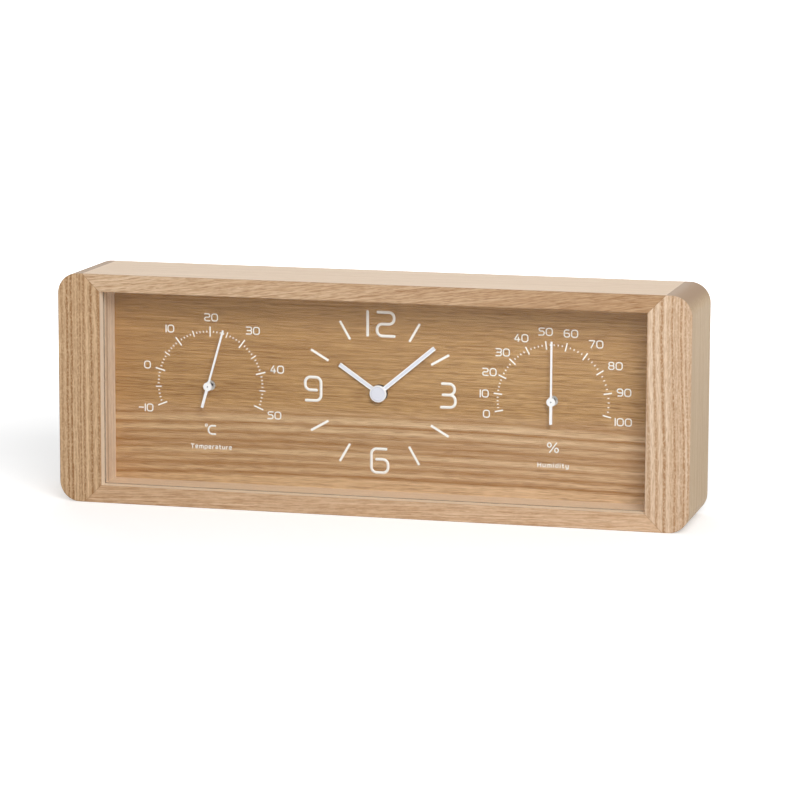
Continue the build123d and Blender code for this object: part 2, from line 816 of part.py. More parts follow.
def movement_base():
    body = block(-case_half, case_half, dial_rear_y, case_rear_y, case_floor, case_rise)
    body -= block(-inner_half, inner_half, inner_y, case_rear_y, bay_floor, bay_top)
    body -= block(-inner_half, inner_half, inner_y, case_rear_y, train_floor, inner_top)
    body -= block(-case_half, case_half, lid_y, case_rear_y, bay_top, case_rise)
    for side in (-1, 1):
        inside = side * inner_half
        notch = sorted([inside, inside - side * (contact_thickness + contact_notch_gap)])
        body -= block(notch[0], notch[1], strip_y - contact_notch_gap, lid_y, bay_top, train_floor)
        body += slab(ear_shape(side), dial_rear_y, dial_rear_y + ear_thickness)
        body -= disc((side * ear_hole_x, 0), dial_rear_y, dial_rear_y + ear_thickness,
                     small_screw_radius + press_clearance)
    body += disc(centre_at, dial_y + sleeve_recess, inner_y, sleeve_radius)
    body -= disc(centre_at, dial_y, inner_y + overrun, hour_tube_radius + running_clearance)
    for place in pillar_places:
        body += disc(place, inner_y, bridge_y, pillar_radius)
        body += disc(place, bridge_y, bridge_rear_y, pillar_pin_radius)
    for place in motor_post_places:
        body += disc(place, inner_y, stator_y, motor_post_radius)
        body -= disc(place, stator_y - coil_screw_grip - pilot_extra, stator_y,
                     coil_screw_radius + press_clearance)
    for place in board_post_places:
        body += disc(place, inner_y, board_y, board_post_radius)
    body += disc(minute_wheel_at, inner_y, layer(3) - layer_gap / 2, stud_radius)
    for place in (third_at, fourth_at, fifth_at, rotor_at):
        body -= disc(place, inner_y - pivot_depth - running_clearance, inner_y,
                     arbor_radius + running_clearance)
    body -= disc(knob_at, inner_y - pivot_depth - running_clearance, inner_y,
                 knob_shaft_radius + running_clearance)
    return at_centre(body)


def movement_cover():
    lid = block(-case_half, case_half, lid_y, case_rear_y, bay_top, case_rise)
    side, low, high = inner_half - lid_play, train_floor + lid_play, inner_top - lid_play
    lip = block(-side, side, lid_y - lid_lip_height, lid_y, low, high)
    lip -= block(lid_lip_width - side, side - lid_lip_width, lid_y - lid_lip_height, lid_y,
                 low + lid_lip_width, high - lid_lip_width)
    body = lid + lip
    return at_centre(body - disc(knob_at, lid_y, case_rear_y, knob_shaft_radius + knob_hole_gap))


def movement_screws():
    places = [(side * ear_hole_x, 0) for side in (-1, 1)]
    grip = ear_thickness + small_screw_grip
    return group([at_centre(screw(place, dial_rear_y + ear_thickness, small_screw_head_radius,
                                  small_screw_head_height, small_screw_radius, grip))
                  for place in places])


def setting_knob():
    knob_y = case_rear_y + knob_gap
    grip = Circle(knob_radius)
    for angle in even_angles(0, knob_grip_count):
        grip -= Pos(*step_from((0, 0), angle, knob_radius)) * Rot(0, 0, angle) \
            * RegularPolygon(knob_grip_depth, knob_grip_sides)
    body = slab(Pos(*knob_at) * grip, knob_y, knob_y + knob_height)
    body += disc(knob_at, inner_y - pivot_depth, knob_y, knob_shaft_radius)
    body += pinion(knob_at, knob_pinion_teeth, hand_module, knob_tooth, layer(2))
    return at_centre(body)


# Gauges
gauges = [
    (-1, thermo_half_turns, thermo_strip_pitch, thermo_strip_thickness),
    (1, hygro_half_turns, hygro_strip_pitch, hygro_strip_thickness),
]


def at_gauge(side, part):
    return Pos(side * gauge_offset, 0, dial_centre_height) * part


def first_coil_radius(thickness):
    return spindle_collar_radius + running_clearance + thickness / 2


def coil_reach(half_turns, pitch, thickness):
    return first_coil_radius(thickness) + (half_turns - 1) * pitch / 2


def cup_radius(half_turns, pitch, thickness):
    return coil_reach(half_turns, pitch, thickness) + coil_post_width / 2 + cup_margin + cup_wall


def coil_front_y():
    return dial_rear_y + cup_wall + coil_front_gap


def coil_rear_y():
    return dial_rear_y + cup_depth - coil_rear_gap


def gauge_housing(side, half_turns, pitch, thickness):
    radius = cup_radius(half_turns, pitch, thickness)
    rear = dial_rear_y + cup_depth
    places = gauge_ear_places(half_turns, pitch, thickness)
    body = disc((0, 0), dial_rear_y, rear, radius)
    body -= disc((0, 0), dial_rear_y + cup_wall, rear, radius - cup_wall)
    for place in places:
        body += disc(place, dial_rear_y, dial_rear_y + ear_thickness, cup_ear_radius) \
            - disc((0, 0), dial_rear_y, rear, radius - cup_wall)
        body -= disc(place, dial_rear_y, dial_rear_y + ear_thickness, small_screw_radius + press_clearance)
    body += disc((0, 0), dial_y + bush_recess, dial_rear_y, gauge_hole_radius - bush_play)
    body -= disc((0, 0), dial_y, dial_y + bush_bore_depth, bush_bore_radius)
    body -= disc((0, 0), dial_y, rear, spindle_radius + running_clearance)
    reach = coil_reach(half_turns, pitch, thickness)
    body += block(-reach - coil_post_width / 2, -reach + coil_post_width / 2,
                  dial_rear_y + cup_wall, coil_rear_y(), -coil_post_length, 0)
    return at_gauge(side, body)


def gauge_spider(side, half_turns, pitch, thickness):
    front = dial_rear_y + cup_depth
    radius = cup_radius(half_turns, pitch, thickness)
    shape = Circle(spider_hub_radius)
    for angle in even_angles(first_ear_angle, cup_ear_count):
        shape += Rot(0, 0, angle) * (Pos(radius / 2, 0) * Rectangle(radius, spider_arm_width))
    shape = shape & Circle(radius)
    body = slab(shape, front, front + spider_thickness)
    return at_gauge(side, body - disc((0, 0), front, front + spider_thickness,
                                      spindle_radius + running_clearance))


def gauge_spindle(side):
    blade_back = hub_y + needle_hub_thickness
    rear = dial_rear_y + cup_depth + spider_thickness
    body = disc((0, 0), hub_y, blade_back, spindle_tip_radius)
    body += disc((0, 0), blade_back, rear, spindle_radius)
    body += disc((0, 0), coil_front_y(), coil_rear_y(), spindle_collar_radius)
    return at_gauge(side, body)


def gauge_coil(side, half_turns, pitch, thickness):
    # a strip wound in half circles, each half a pitch larger than the one before
    strip = Sketch()
    for number in range(half_turns):
        radius = first_coil_radius(thickness) + number * pitch / 2
        upper = number % 2 == 0
        room = radius + thickness
        half_plane = Pos(0, room / 2 if upper else -room / 2) * Rectangle(room * 2, room)
        ring = (Circle(radius + thickness / 2) - Circle(radius - thickness / 2)) & half_plane
        strip += Pos(0 if upper else pitch / 2, 0) * ring
    return at_gauge(side, slab(strip, coil_front_y(), coil_rear_y()))


def gauge_needle(side, angle):
    tip = Pos(0, needle_tip_length / 2) * Rectangle(needle_tip_width, needle_tip_length)
    tail = Pos(0, -needle_tail_length / 2) * Rectangle(needle_tail_width, needle_tail_length)
    blade_y = hub_y + needle_setback
    body = slab(Rot(0, 0, -angle) * (tip + tail), blade_y, blade_y + needle_thickness)
    body += disc((0, 0), hub_y, hub_y + needle_hub_thickness, needle_hub_radius)
    return at_gauge(side, body - disc((0, 0), hub_y, hub_y + needle_hub_thickness,
                                      spindle_tip_radius + press_clearance))


def gauge_screws(side, half_turns, pitch, thickness):
    grip = ear_thickness + small_screw_grip
    return group([at_gauge(side, screw(place, dial_rear_y + ear_thickness, small_screw_head_radius,
                                       small_screw_head_height, small_screw_radius, grip))
                  for place in gauge_ear_places(half_turns, pitch, thickness)])


# Every piece of the clock, by name
pieces = {
    "frame_left": frame_side(-1),
    "frame_right": frame_side(1),
    "frame_top": frame_rail(True),
    "frame_bottom": frame_rail(False),
    "front_glass": front_glass(),
    "dial_panel": dial_panel(),
    "dial_batten_top": dial_batten_long(True),
    "dial_batten_bottom": dial_batten_long(False),
    "dial_batten_left": dial_batten_short(-1),
    "dial_batten_right": dial_batten_short(1),
    "back_panel": back_panel(),
    "back_screws": back_screws(),
    "hour_hand": hour_hand(),
    "minute_hand": minute_hand(),
    "hand_cap": hand_cap(),
    "centre_arbor": centre_arbor(),
    "clutch_spring": clutch_spring(),
    "hour_wheel": hour_wheel(),
    "minute_wheel": minute_wheel(),
    "centre_wheel": centre_wheel(),
    "third_wheel": third_wheel(),
    "fourth_wheel": fourth_wheel(),
    "fifth_wheel": fifth_wheel(),
    "rotor": rotor(),
    "rotor_magnet": rotor_magnet(),
    "train_bridge": train_bridge(),
    "stator": stator(),
    "coil_core": coil_core(),
    "coil_bobbin": coil_bobbin(),
    "coil_winding": coil_winding(),
    "coil_screws": coil_screws(),
    "circuit_board": circuit_board(),
    "quartz_crystal": quartz_crystal(),
    "clock_chip": clock_chip(),
    "contact_negative": contact_negative(),
    "contact_positive": contact_positive(),
    "battery": battery(),
    "movement_base": movement_base(),
    "movement_cover": movement_cover(),
    "movement_screws": movement_screws(),
    "setting_knob": setting_knob(),
}
for gauge, prefix, angle in zip(gauges, ("thermo", "hygro"), (thermo_needle_angle, hygro_needle_angle)):
    pieces[prefix + "_housing"] = gauge_housing(*gauge)
    pieces[prefix + "_spider"] = gauge_spider(*gauge)
    pieces[prefix + "_spindle"] = gauge_spindle(gauge[0])
    pieces[prefix + "_coil"] = gauge_coil(*gauge)
    pieces[prefix + "_needle"] = gauge_needle(gauge[0], angle)
    pieces[prefix + "_screws"] = gauge_screws(*gauge)

os.makedirs("parts", exist_ok=True)
for name, piece in pieces.items():
    export_step(piece, f"parts/{name}.step")
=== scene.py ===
import math

import bmesh
import bpy
from mathutils import Matrix, Vector


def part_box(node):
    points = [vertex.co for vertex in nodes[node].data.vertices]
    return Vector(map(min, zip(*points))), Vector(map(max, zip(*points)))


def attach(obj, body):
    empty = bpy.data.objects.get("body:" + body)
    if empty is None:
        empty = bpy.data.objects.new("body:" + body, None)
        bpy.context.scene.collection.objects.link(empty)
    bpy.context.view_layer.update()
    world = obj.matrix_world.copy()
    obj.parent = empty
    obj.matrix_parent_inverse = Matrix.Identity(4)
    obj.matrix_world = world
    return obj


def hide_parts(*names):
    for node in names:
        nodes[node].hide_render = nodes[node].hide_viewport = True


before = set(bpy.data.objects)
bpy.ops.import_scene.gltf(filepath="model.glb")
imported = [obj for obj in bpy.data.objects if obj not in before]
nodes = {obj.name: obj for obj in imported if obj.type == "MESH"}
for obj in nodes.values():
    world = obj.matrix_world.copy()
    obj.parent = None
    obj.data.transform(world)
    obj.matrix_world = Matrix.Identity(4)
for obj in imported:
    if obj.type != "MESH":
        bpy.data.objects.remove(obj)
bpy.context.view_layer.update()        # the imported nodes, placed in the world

print("clock frame loaded,", len(nodes), "nodes")

mm = 0.001
fullTurn = 2 * math.pi
clockCentre = (0.0, 56.5)        # x and z of the hands, in millimetres


# shared helpers for node trees

class Wire:
    # a node's output, which takes part in sums as a number does
    def __init__(self, tree, socket):
        self.tree, self.socket = tree, socket

    def __add__(self, other):
        return calc("ADD", self, other)

    def __sub__(self, other):
        return calc("SUBTRACT", self, other)

    def __rsub__(self, other):
        return calc("SUBTRACT", other, self)

    def __mul__(self, other):
        return calc("MULTIPLY", self, other)

    def __truediv__(self, other):
        return calc("DIVIDE", self, other)

    def __rtruediv__(self, other):
        return calc("DIVIDE", other, self)

    def __pow__(self, other):
        return calc("POWER", self, other)

    def __abs__(self):
        return calc("ABSOLUTE", self)


class Outputs:
    # a node's outputs as wires, by name or number
    def __init__(self, tree, node):
        self.tree, self.node = tree, node

    def __getitem__(self, name):
        return Wire(self.tree, self.node.outputs[name])


def feed(socket, value):
    if isinstance(value, list):        # several wires into one socket
        for wire in value:
            feed(socket, wire)
    elif isinstance(value, Wire):
        value.tree.links.new(value.socket, socket)
    elif socket.type == "RGBA" and len(value) == 3:
        socket.default_value = paint(value)
    else:
        socket.default_value = value


def plug(node, wired):
    for name, value in wired.items() if isinstance(wired, dict) else enumerate(wired):
        feed(node.inputs[name], value)


def put(tree, kind, wired=(), **settings):
    node = tree.nodes.new(kind)
    for name, value in settings.items():
        setattr(node, name, value)
    plug(node, wired)
    return Outputs(tree, node)


def treeOf(*values):
    return next(value.tree for value in values if isinstance(value, Wire))


def calc(operation, *values):
    return put(treeOf(*values), "ShaderNodeMath", values, operation=operation)[0]


def vector(x=0.0, y=0.0, z=0.0):
    return put(treeOf(x, y, z), "ShaderNodeCombineXYZ", (x, y, z))[0]


def vectorCalc(operation, first, second):
    return put(treeOf(first, second), "ShaderNodeVectorMath", (first, second), operation=operation)[0]


def length(x, z):
    return calc("SQRT", x * x + z * z)


def split(place):
    return put(place.tree, "ShaderNodeSeparateXYZ", (place,))


def moved(place, scale=(1, 1, 1), turn=(0, 0, 0), shift=(0, 0, 0)):
    return put(place.tree, "ShaderNodeMapping", {
        "Vector": place, "Scale": scale, "Rotation": turn, "Location": shift})[0]


def noise(place, detail=2.0, roughness=0.5, scale=1.0):
    return put(place.tree, "ShaderNodeTexNoise", {
        "Vector": place, "Scale": scale, "Detail": detail, "Roughness": roughness})[0]


def remap(value, low, high, newLow=0.0, newHigh=1.0, kind="SMOOTHSTEP"):
    return put(value.tree, "ShaderNodeMapRange", (value, low, high, newLow, newHigh),
               interpolation_type=kind)[0]


def fade(value, start, offsets):
    return remap(value, start + offsets[0], start + offsets[1])


def paint(colour):
    # three screen values from 0 to 255 as the light values that a shader takes
    def linear(part):
        part /= 255
        return part / 12.92 if part <= 0.04045 else ((part + 0.055) / 1.055) ** 2.4
    return (*map(linear, colour), 1.0)


def grey(level):
    return (level, level, level, 1.0)


def ramp(value, stops, kind="EASE"):
    # each stop is a position and either a colour or a grey level
    node = value.tree.nodes.new("ShaderNodeValToRGB")
    feed(node.inputs[0], value)
    band = node.color_ramp
    band.interpolation = kind
    band.elements[0].position = stops[0][0]
    band.elements[1].position = stops[-1][0]
    for position, colour in stops[1:-1]:
        band.elements.new(position)
    for element, (position, colour) in zip(band.elements, stops):
        element.color = paint(colour) if isinstance(colour, tuple) else grey(colour)
    return Wire(value.tree, node.outputs[0])


def mixColour(share, first, second, kind="MIX"):
    return put(treeOf(share, first, second), "ShaderNodeMix", {0: share, 6: first, 7: second},
               data_type="RGBA", blend_type=kind)[2]


def layered(colour, *layers):
    # each layer is a share and the colour laid over what is below
    for share, over in layers:
        colour = mixColour(share, colour, over)
    return colour


def newFinish(name, **settings):
    finish = bpy.data.materials.new(name)
    finish.use_nodes = True
    surface = finish.node_tree.nodes["Principled BSDF"]
    plug(surface, {socketName.replace("_", " "): value for socketName, value in settings.items()})
    return finish, finish.node_tree, surface


def coat(surface, colour, height, relief):
    bumped = put(height.tree, "ShaderNodeBump", {"Height": height, "Distance": relief})[0]
    plug(surface, {"Base Color": colour, "Normal": bumped})


def objectMillimetres(tree):
    return moved(put(tree, "ShaderNodeTexCoord")["Object"], scale=(1 / mm, 1 / mm, 1 / mm))


def useGroup(tree, group, **settings):
    return put(tree, "ShaderNodeGroup", {name.replace("_", " "): value for name, value in settings.items()},
               node_tree=group)


def shaderGroup(name, inputs, outputs):
    # an input with no usual value is a place, and every other socket is a number
    group = bpy.data.node_groups.new(name, "ShaderNodeTree")
    for socketName, value in inputs.items():
        kind = "NodeSocketVector" if value is None else "NodeSocketFloat"
        socket = group.interface.new_socket(socketName, in_out="INPUT", socket_type=kind)
        if value is not None:
            socket.default_value = value
    for socketName in outputs:
        group.interface.new_socket(socketName, in_out="OUTPUT", socket_type="NodeSocketFloat")
    return group, put(group, "NodeGroupInput"), put(group, "NodeGroupOutput").node


# wood grain, used by the frame, the dial veneer and the battens

def woodGrainGroup():
    # Place is in millimetres: X runs along the grain and Z crosses the rings
    look = {"seedStep": (31.7, 17.3, 7.9), "bendScale": (0.009, 0.03, 0.05), "bend": 6.0,
            "rippleScale": (0.07, 0.2, 0.3), "ripple": 0.9, "unevenScale": 0.37, "uneven": 1.6,
            "ring": (
                (0.0, 0.5), (0.08, 1.0), (0.20, 0.8), (0.38, 0.2), (0.55, 0.0), (0.86, 0.05), (1.0, 0.5)),
            "palestRing": 0.35, "dashScale": (0.45, 0.5, 1.2), "dashes": (0.34, 0.60), "palestDash": 0.40,
            "fibreScale": (0.16, 1.6, 2.2), "fibre": (0.42, 0.68), "streakScale": (0.012, 0.5, 1.5),
            "poreDeep": 0.6, "poresInRings": 0.14, "pores": (0.57, 0.66),
            "fibreHeight": 0.35, "poreDepth": 0.8, "ringDepth": 0.25}
    group, given, out = shaderGroup(
        "woodGrain", {"Place": None, "Ring Width": 2.3, "Wander": 1.2, "Pore Length": 7.0, "Pore Width": 0.5,
                      "Seed": 0.0}, ("Rings", "Streaks", "Pores", "Fibre", "Height"))
    seedShift = put(group, "ShaderNodeVectorMath", {0: look["seedStep"], "Scale": given["Seed"]},
                    operation="SCALE")[0]
    place = vectorCalc("ADD", given["Place"], seedShift)

    slowBend = noise(moved(place, scale=look["bendScale"]), 1.0)
    edgeRipple = noise(moved(place, scale=look["rippleScale"]), 2.0)
    bend = (slowBend - 0.5) * given["Wander"] * look["bend"]
    bend += (edgeRipple - 0.5) * given["Wander"] * look["ripple"]
    ringPlace = (split(place)["Z"] + bend) / given["Ring Width"]
    oneWay = {"noise_dimensions": "1D"}
    uneven = put(group, "ShaderNodeTexNoise", {"W": ringPlace * look["unevenScale"]}, **oneWay)[0]
    ringPlace += uneven * look["uneven"]
    ringNumber = put(group, "ShaderNodeTexWhiteNoise", {"W": calc("FLOOR", ringPlace)}, **oneWay)[0]
    dashes = noise(moved(place, scale=look["dashScale"]), 2.0, 0.65)
    rings = ramp(calc("FRACT", ringPlace), look["ring"])
    rings *= remap(ringNumber, 0.0, 1.0, look["palestRing"], 1.0, "LINEAR")
    rings *= remap(dashes, *look["dashes"], look["palestDash"], 1.0)

    fibre = noise(moved(place, scale=look["fibreScale"]), 3.0, 0.65)
    poreAcross = 1.0 / given["Pore Width"]
    poreScale = vector(1.0 / given["Pore Length"], poreAcross * look["poreDeep"], poreAcross)
    pores = noise(vectorCalc("MULTIPLY", place, poreScale), 1.0, 0.4) + rings * look["poresInRings"]
    pores = remap(pores, *look["pores"])
    plug(out, {
        "Rings": rings, "Pores": pores, "Fibre": remap(fibre, *look["fibre"]),
        "Streaks": noise(moved(place, scale=look["streakScale"]), 4.0, 0.62),
        "Height": fibre * look["fibreHeight"] - pores * look["poreDepth"] - rings * look["ringDepth"]})
    return group


woodGrain = woodGrainGroup()


def grainPlace(tree, along, slope, heart):
    # along is X or Z, slope leans the grain, and heart is the far middle of the tree, in millimetres
    parts = split(objectMillimetres(tree))
    crosswise = parts["Z" if along == "X" else "X"] + parts[along] * slope - heart[0]
    deep = parts["Y"] - heart[1]
    return vector(parts[along], deep, length(crosswise, deep)), parts


def chosenRings(tree, look, parts):
    # growth rings at the places that the front shows, swaying a little along the grain
    place = objectMillimetres(tree)
    sway = noise(moved(place, scale=look["swayScale"], shift=(look["seed"], 0, 0)), 1.0)
    shiver = noise(moved(place, scale=look["shiverScale"]), 2.0)
    across = abs(parts["X"]) - look["innerEdge"]
    across += remap(parts["Z"], *look["leanHeights"], *look["lean"], "LINEAR")
    across += (sway - 0.5) * look["sway"]
    across += (shiver - 0.5) * look["shiver"]
    span = look["ringSpan"]
    lines = ramp(across / span, [(distance / span, dark) for distance, dark in look["rings"]])
    beads = noise(moved(place, scale=look["beadScale"]), 2.0, 0.6)
    return lines * remap(beads, *look["beads"])


glassLow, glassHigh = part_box("front_glass")
openLow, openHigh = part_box("frame_bottom")[1].z / mm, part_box("frame_top")[0].z / mm
opening = {"half": -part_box("frame_left")[1].x / mm, "middle": (openLow + openHigh) / 2,
           "reach": (openHigh - openLow) / 2, "glassFront": glassLow.y / mm, "glassBack": glassHigh.y / mm}


def solidWood(name, look):
    finish, tree, surface = newFinish(name, Roughness=look["roughness"], Specular_IOR_Level=look["gloss"])
    place, parts = grainPlace(tree, look["along"], look["slope"], look["heart"])
    front = fade(abs(parts["Y"]), look["halfDepth"], look["frontEdge"])
    notFront = 1.0 - front
    turned = vector(        # faces along the depth show the grain edge on
        parts[look["along"]], parts["Z" if look["along"] == "X" else "X"], parts["Y"] * look["sideStretch"])
    chosen = put(tree, "ShaderNodeMix", {0: front, 4: turned, 5: place}, data_type="VECTOR")[1]
    grain = useGroup(tree, woodGrain, Place=chosen, Ring_Width=look["ringWidth"], Wander=look["wander"],
                     Pore_Length=look["poreLength"], Pore_Width=look["poreWidth"], Seed=look["seed"])

    # 1 on the walls of the opening, which are coloured paler as painted light, and 1 on the part of them
    # that stands in front of the glass, coloured paler still as painted light that the glass does not dim
    acrossOpening = abs(parts["X"])
    upOpening = abs(parts["Z"] - opening["middle"])
    beside = fade(acrossOpening, opening["half"], look["wallFade"])
    between = fade(upOpening, opening["reach"], look["wallFade"])
    inside = beside * between * notFront
    lip = inside * fade(parts["Y"], opening["glassFront"], look["lipFade"])
    loud = inside * (look["insideShare"] - look["sideShare"]) + look["sideShare"]
    loud = remap(front, 0.0, 1.0, loud, 1.0, "LINEAR")

    # the walls of the opening take their own paler colours: painted light
    mid, pale = (layered(look["side" + tone], (inside, look["inside" + tone]), (front, look[tone.lower()]))
                 for tone in ("Mid", "Pale"))
    rings = grain["Rings"] * look["ringShare"]
    if "rings" in look:
        rings = rings * notFront + chosenRings(tree, look, parts) * front
    colour = layered(
        mid, (remap(grain["Streaks"], *look["streaks"]), pale), (rings * loud, look["dark"]),
        (grain["Pores"] * look["poreShare"] * loud, look["pore"]),
        (grain["Fibre"] * look["fibreShare"] * loud, look["dark"]))
    if "tints" in look:        # a rail is darker towards one end: on the bottom rail the darker left end is painted shade of the light falling off, and the top rail is darker towards the right
        fromLeft = remap(parts["X"], -opening["half"], opening["half"], kind="LINEAR")
        tinted = mixColour(1.0, colour, mixColour(fromLeft, *look["tints"]), "MULTIPLY")
        colour = mixColour(front, colour, tinted)
    if "wallLines" in look:        # the inner walls show the grain lines edge on
        inwards = remap(parts["Y"], -look["halfDepth"], look["halfDepth"], kind="LINEAR")
        lines = ramp(inwards, [(depth / look["halfDepth"] / 2, dark) for depth, dark in look["wallLines"]])
        colour = mixColour(lines * inside * look["wallShare"], colour, look["dark"])
    offMitre = abs((acrossOpening - opening["half"]) - (upOpening - opening["reach"]))
    joint = remap(offMitre, *look["jointFade"], 1.0, 0.0)
    joint *= calc("GREATER_THAN", acrossOpening, opening["half"] - look["jointStart"])
    # painted light: the part of the walls in front of the glass is laid over with the paler lip colour
    colour = layered(colour, (joint * front * look["jointShare"], look["pore"]),
                     (lip * look["lipShare"], look["lip"]))
    if "endGrain" in look:        # darker where the rounded corners cut across the grain
        cut = remap(parts["Z"], *look["endHeights"]) * notFront
        colour = mixColour(cut, colour, look["endGrain"])
    # painted shade: the wood in and round the glass groove is coloured dark for the shade in the narrow gap
    groove = fade(parts["Y"], opening["glassFront"], look["grooveFront"])
    groove *= fade(parts["Y"], opening["glassBack"], look["grooveBack"])
    inGroove = calc("LESS_THAN", acrossOpening, opening["half"] + look["grooveDepth"])
    inGroove *= calc("LESS_THAN", upOpening, opening["reach"] + look["grooveDepth"])
    colour = mixColour(groove * inGroove, colour, look["groove"])
    coat(surface, colour, grain["Height"], look["relief"])
    return finish


woodLook = {         # fades and edges are in millimetres
    "halfDepth": 26.0, "frontEdge": (-0.9, -0.2), "wallFade": (0.6, 0.2), "streaks": (0.36, 0.66),
    "roughness": 0.46, "gloss": 0.22, "relief": 3e-5, "lipShare": 0.8, "lipFade": (0.1, 0.0),
    # the dark groove colour is painted shade in the gap round the glass
    "groove": (90, 66, 46), "grooveDepth": 3.0, "grooveFront": (-0.05, 0.05), "grooveBack": (0.15, 0.05),
    "jointShare": 0.55, "jointFade": (0.10, 0.24), "jointStart": 0.5}
sideLook = dict(
    woodLook, along="Z", slope=0.012, heart=(400.0, -60.0), ringWidth=2.2, wander=0.35, poreLength=3.0,
    poreWidth=0.36, mid=(219, 184, 145), pale=(230, 198, 160), dark=(153, 114, 75),
    pore=(134, 92, 54), ringShare=0.75, poreShare=0.3, fibreShare=0.4, sideMid=(206, 174, 138),
    # the inner-wall colours here are painted light on the walls of the opening
    sidePale=(222, 192, 158), sideShare=0.3, sideStretch=0.55, insideMid=(246, 224, 200),
    # the lip colour is painted light on the wall in front of the glass
    insidePale=(253, 238, 219), insideShare=0.5, lip=(250, 236, 216), wallShare=0.55,
    wallLines=(         # millimetres in from the front, and how dark the wood is there
        (0.0, 0.1), (7.6, 0.1), (9.6, 0.0), (10.6, 1.0), (11.9, 0.95), (12.8, 0.2), (15.0, 0.45),
        (16.8, 0.05), (18.4, 0.1), (19.4, 0.6), (20.6, 0.1), (23.0, 0.0), (24.4, 0.3), (26.0, 0.05),
        (52.0, 0.2)),
    innerEdge=133.8, ringSpan=21.2, swayScale=(0.03, 0.03, 0.024), sway=1.4, shiverScale=(0.3, 0.3, 0.16),
    shiver=0.8, leanHeights=(30.0, 95.0), lean=(0.0, 0.0), beadScale=(1.3, 1.3, 0.8),
    beads=(0.32, 0.62, 0.55, 1.2), endGrain=(170, 138, 106), endHeights=(104.0, 110.0), seed=1.0,
    rings=(         # millimetres out from the opening, and how dark the wood is there
        (0.0, 0.60), (0.8, 0.80), (2.5, 0.05), (3.5, 0.35), (4.4, 0.95), (5.3, 0.45), (6.8, 0.0),
        (8.2, 0.78), (9.3, 0.20), (10.0, 0.80), (10.6, 0.35), (11.2, 0.65), (12.1, 0.20), (12.8, 0.50),
        (13.6, 0.20), (14.3, 1.0), (15.6, 0.25), (16.4, 0.90), (17.8, 0.25), (19.3, 0.65), (20.4, 0.15),
        (21.2, 0.90)))
rightSideLook = dict(
    sideLook, heart=(-480.0, -70.0), seed=4.0, lean=(-0.8, 1.7), mid=(224, 195, 165),
    pale=(236, 213, 187), dark=(170, 130, 92), pore=(150, 108, 70),
    sideMid=(196, 165, 124), sidePale=(210, 182, 142),
    rings=(
        (0.0, 0.30), (1.3, 0.65), (2.9, 0.05), (3.9, 0.10), (4.8, 0.72), (6.2, 0.12), (7.3, 0.15),
        (8.6, 0.90), (10.3, 0.0), (11.9, 0.40), (12.7, 0.30), (13.7, 0.85), (14.3, 0.35), (15.1, 0.45),
        (15.8, 0.30), (16.5, 0.55), (17.1, 0.30), (17.8, 0.90), (18.8, 0.10), (19.8, 0.70), (20.6, 0.35),
        (21.2, 0.50)))
railLook = dict(
    woodLook, along="X", slope=-0.14, heart=(-260.0, -40.0), ringWidth=2.0, wander=0.5, poreLength=7.0,
    poreWidth=0.26, mid=(213, 181, 147), pale=(229, 201, 170), dark=(166, 124, 82),
    pore=(146, 102, 62), ringShare=0.35, poreShare=0.5, fibreShare=0.5,
    # the rails' depth-face colours are paler than their fronts: painted light from above on the top face
    tints=(grey(1.0), (219, 206, 190)), sideMid=(226, 197, 164), sidePale=(240, 213, 184),
    # the inner-wall colours here are painted light on the ledge and walls of the opening
    sideShare=0.15, sideStretch=1.0, insideMid=(240, 214, 186), insidePale=(248, 227, 202),
    # the lip colour is painted light on the ledge in front of the glass
    insideShare=0.4, lip=(250, 232, 206), seed=2.0)
bottomRailLook = dict(railLook, slope=-0.03, heart=(-300.0, 30.0), ringWidth=1.7, seed=6.0, poreLength=10.0,
                      poreShare=0.35, ringShare=0.45, mid=(215, 180, 146), pale=(232, 202, 171),
                      # the darker left end of this rail is painted shade
                      tints=((241, 236, 228), grey(1.0)))
battenLook = dict(railLook, slope=0.004, ringWidth=3.2, mid=(205, 176, 138), pale=(220, 195, 160),
                  dark=(178, 142, 100), roughness=0.6, poreShare=0.4, seed=9.0)
uprightBattenLook = dict(battenLook, along="Z", heart=(-200.0, -80.0), seed=11.0)


# dial veneer: fine straight grain above, bold bands below

veneerLook = {
    "height": 112.0, "slope": 0.004, "heart": (-500.0, 0.0), "droop": 0.00016, "droopMiddle": 10.0,
    "grain": {"Ring_Width": 2.2, "Wander": 0.7, "Pore_Length": 9.0, "Pore_Width": 0.36, "Seed": 3.0},
    "gloss": 0.12, "roughness": 0.5, "relief": 1e-5, "warpScale": (0.011, 1, 0.03), "warp": 1.6,
    "rippleScale": (0.09, 1, 0.5), "ripple": 1.3, "fibreScale": (0.03, 1, 1.2), "fineFibres": (0.50, 0.60),
    "streaks": (0.34, 0.68), "pale": (204, 165, 116), "mid": (186, 146, 96),
    "dark": (138, 97, 57), "pore": (112, 70, 36), "bandPale": (222, 190, 152),
    # the left tint is painted shade towards the dial's left end
    "bandDark": (170, 126, 81), "leftTint": (244, 238, 224), "bandFade": (50.0, 42.0),
    "bandMottle": (0.35, 0.65, 0.72, 1.15),
    "bands": (         # height on the dial in millimetres, and how dark the wood is there
        (9.0, 0.05), (13.5, 0.05), (15.2, 1.0), (17.2, 0.10), (19.6, 0.85), (21.7, 0.25), (23.7, 0.80),
        (25.3, 0.10), (26.2, 0.20), (27.9, 0.90), (29.1, 0.50), (30.8, 0.95), (33.2, 0.40), (35.0, 0.85),
        (37.0, 0.0), (38.2, 0.35), (39.7, 1.0), (41.2, 0.0), (42.5, 0.15), (43.3, 0.35), (44.6, 0.90),
        (45.6, 0.50), (47.5, 0.50), (50.0, 0.55), (112.0, 0.55)),
    "plainShares": {"rings": 0.24, "fine": 0.32, "fibre": 0.42, "pores": 0.42},
    "bandShares": {"fine": 0.25, "fibre": 0.35, "pores": 0.32}}


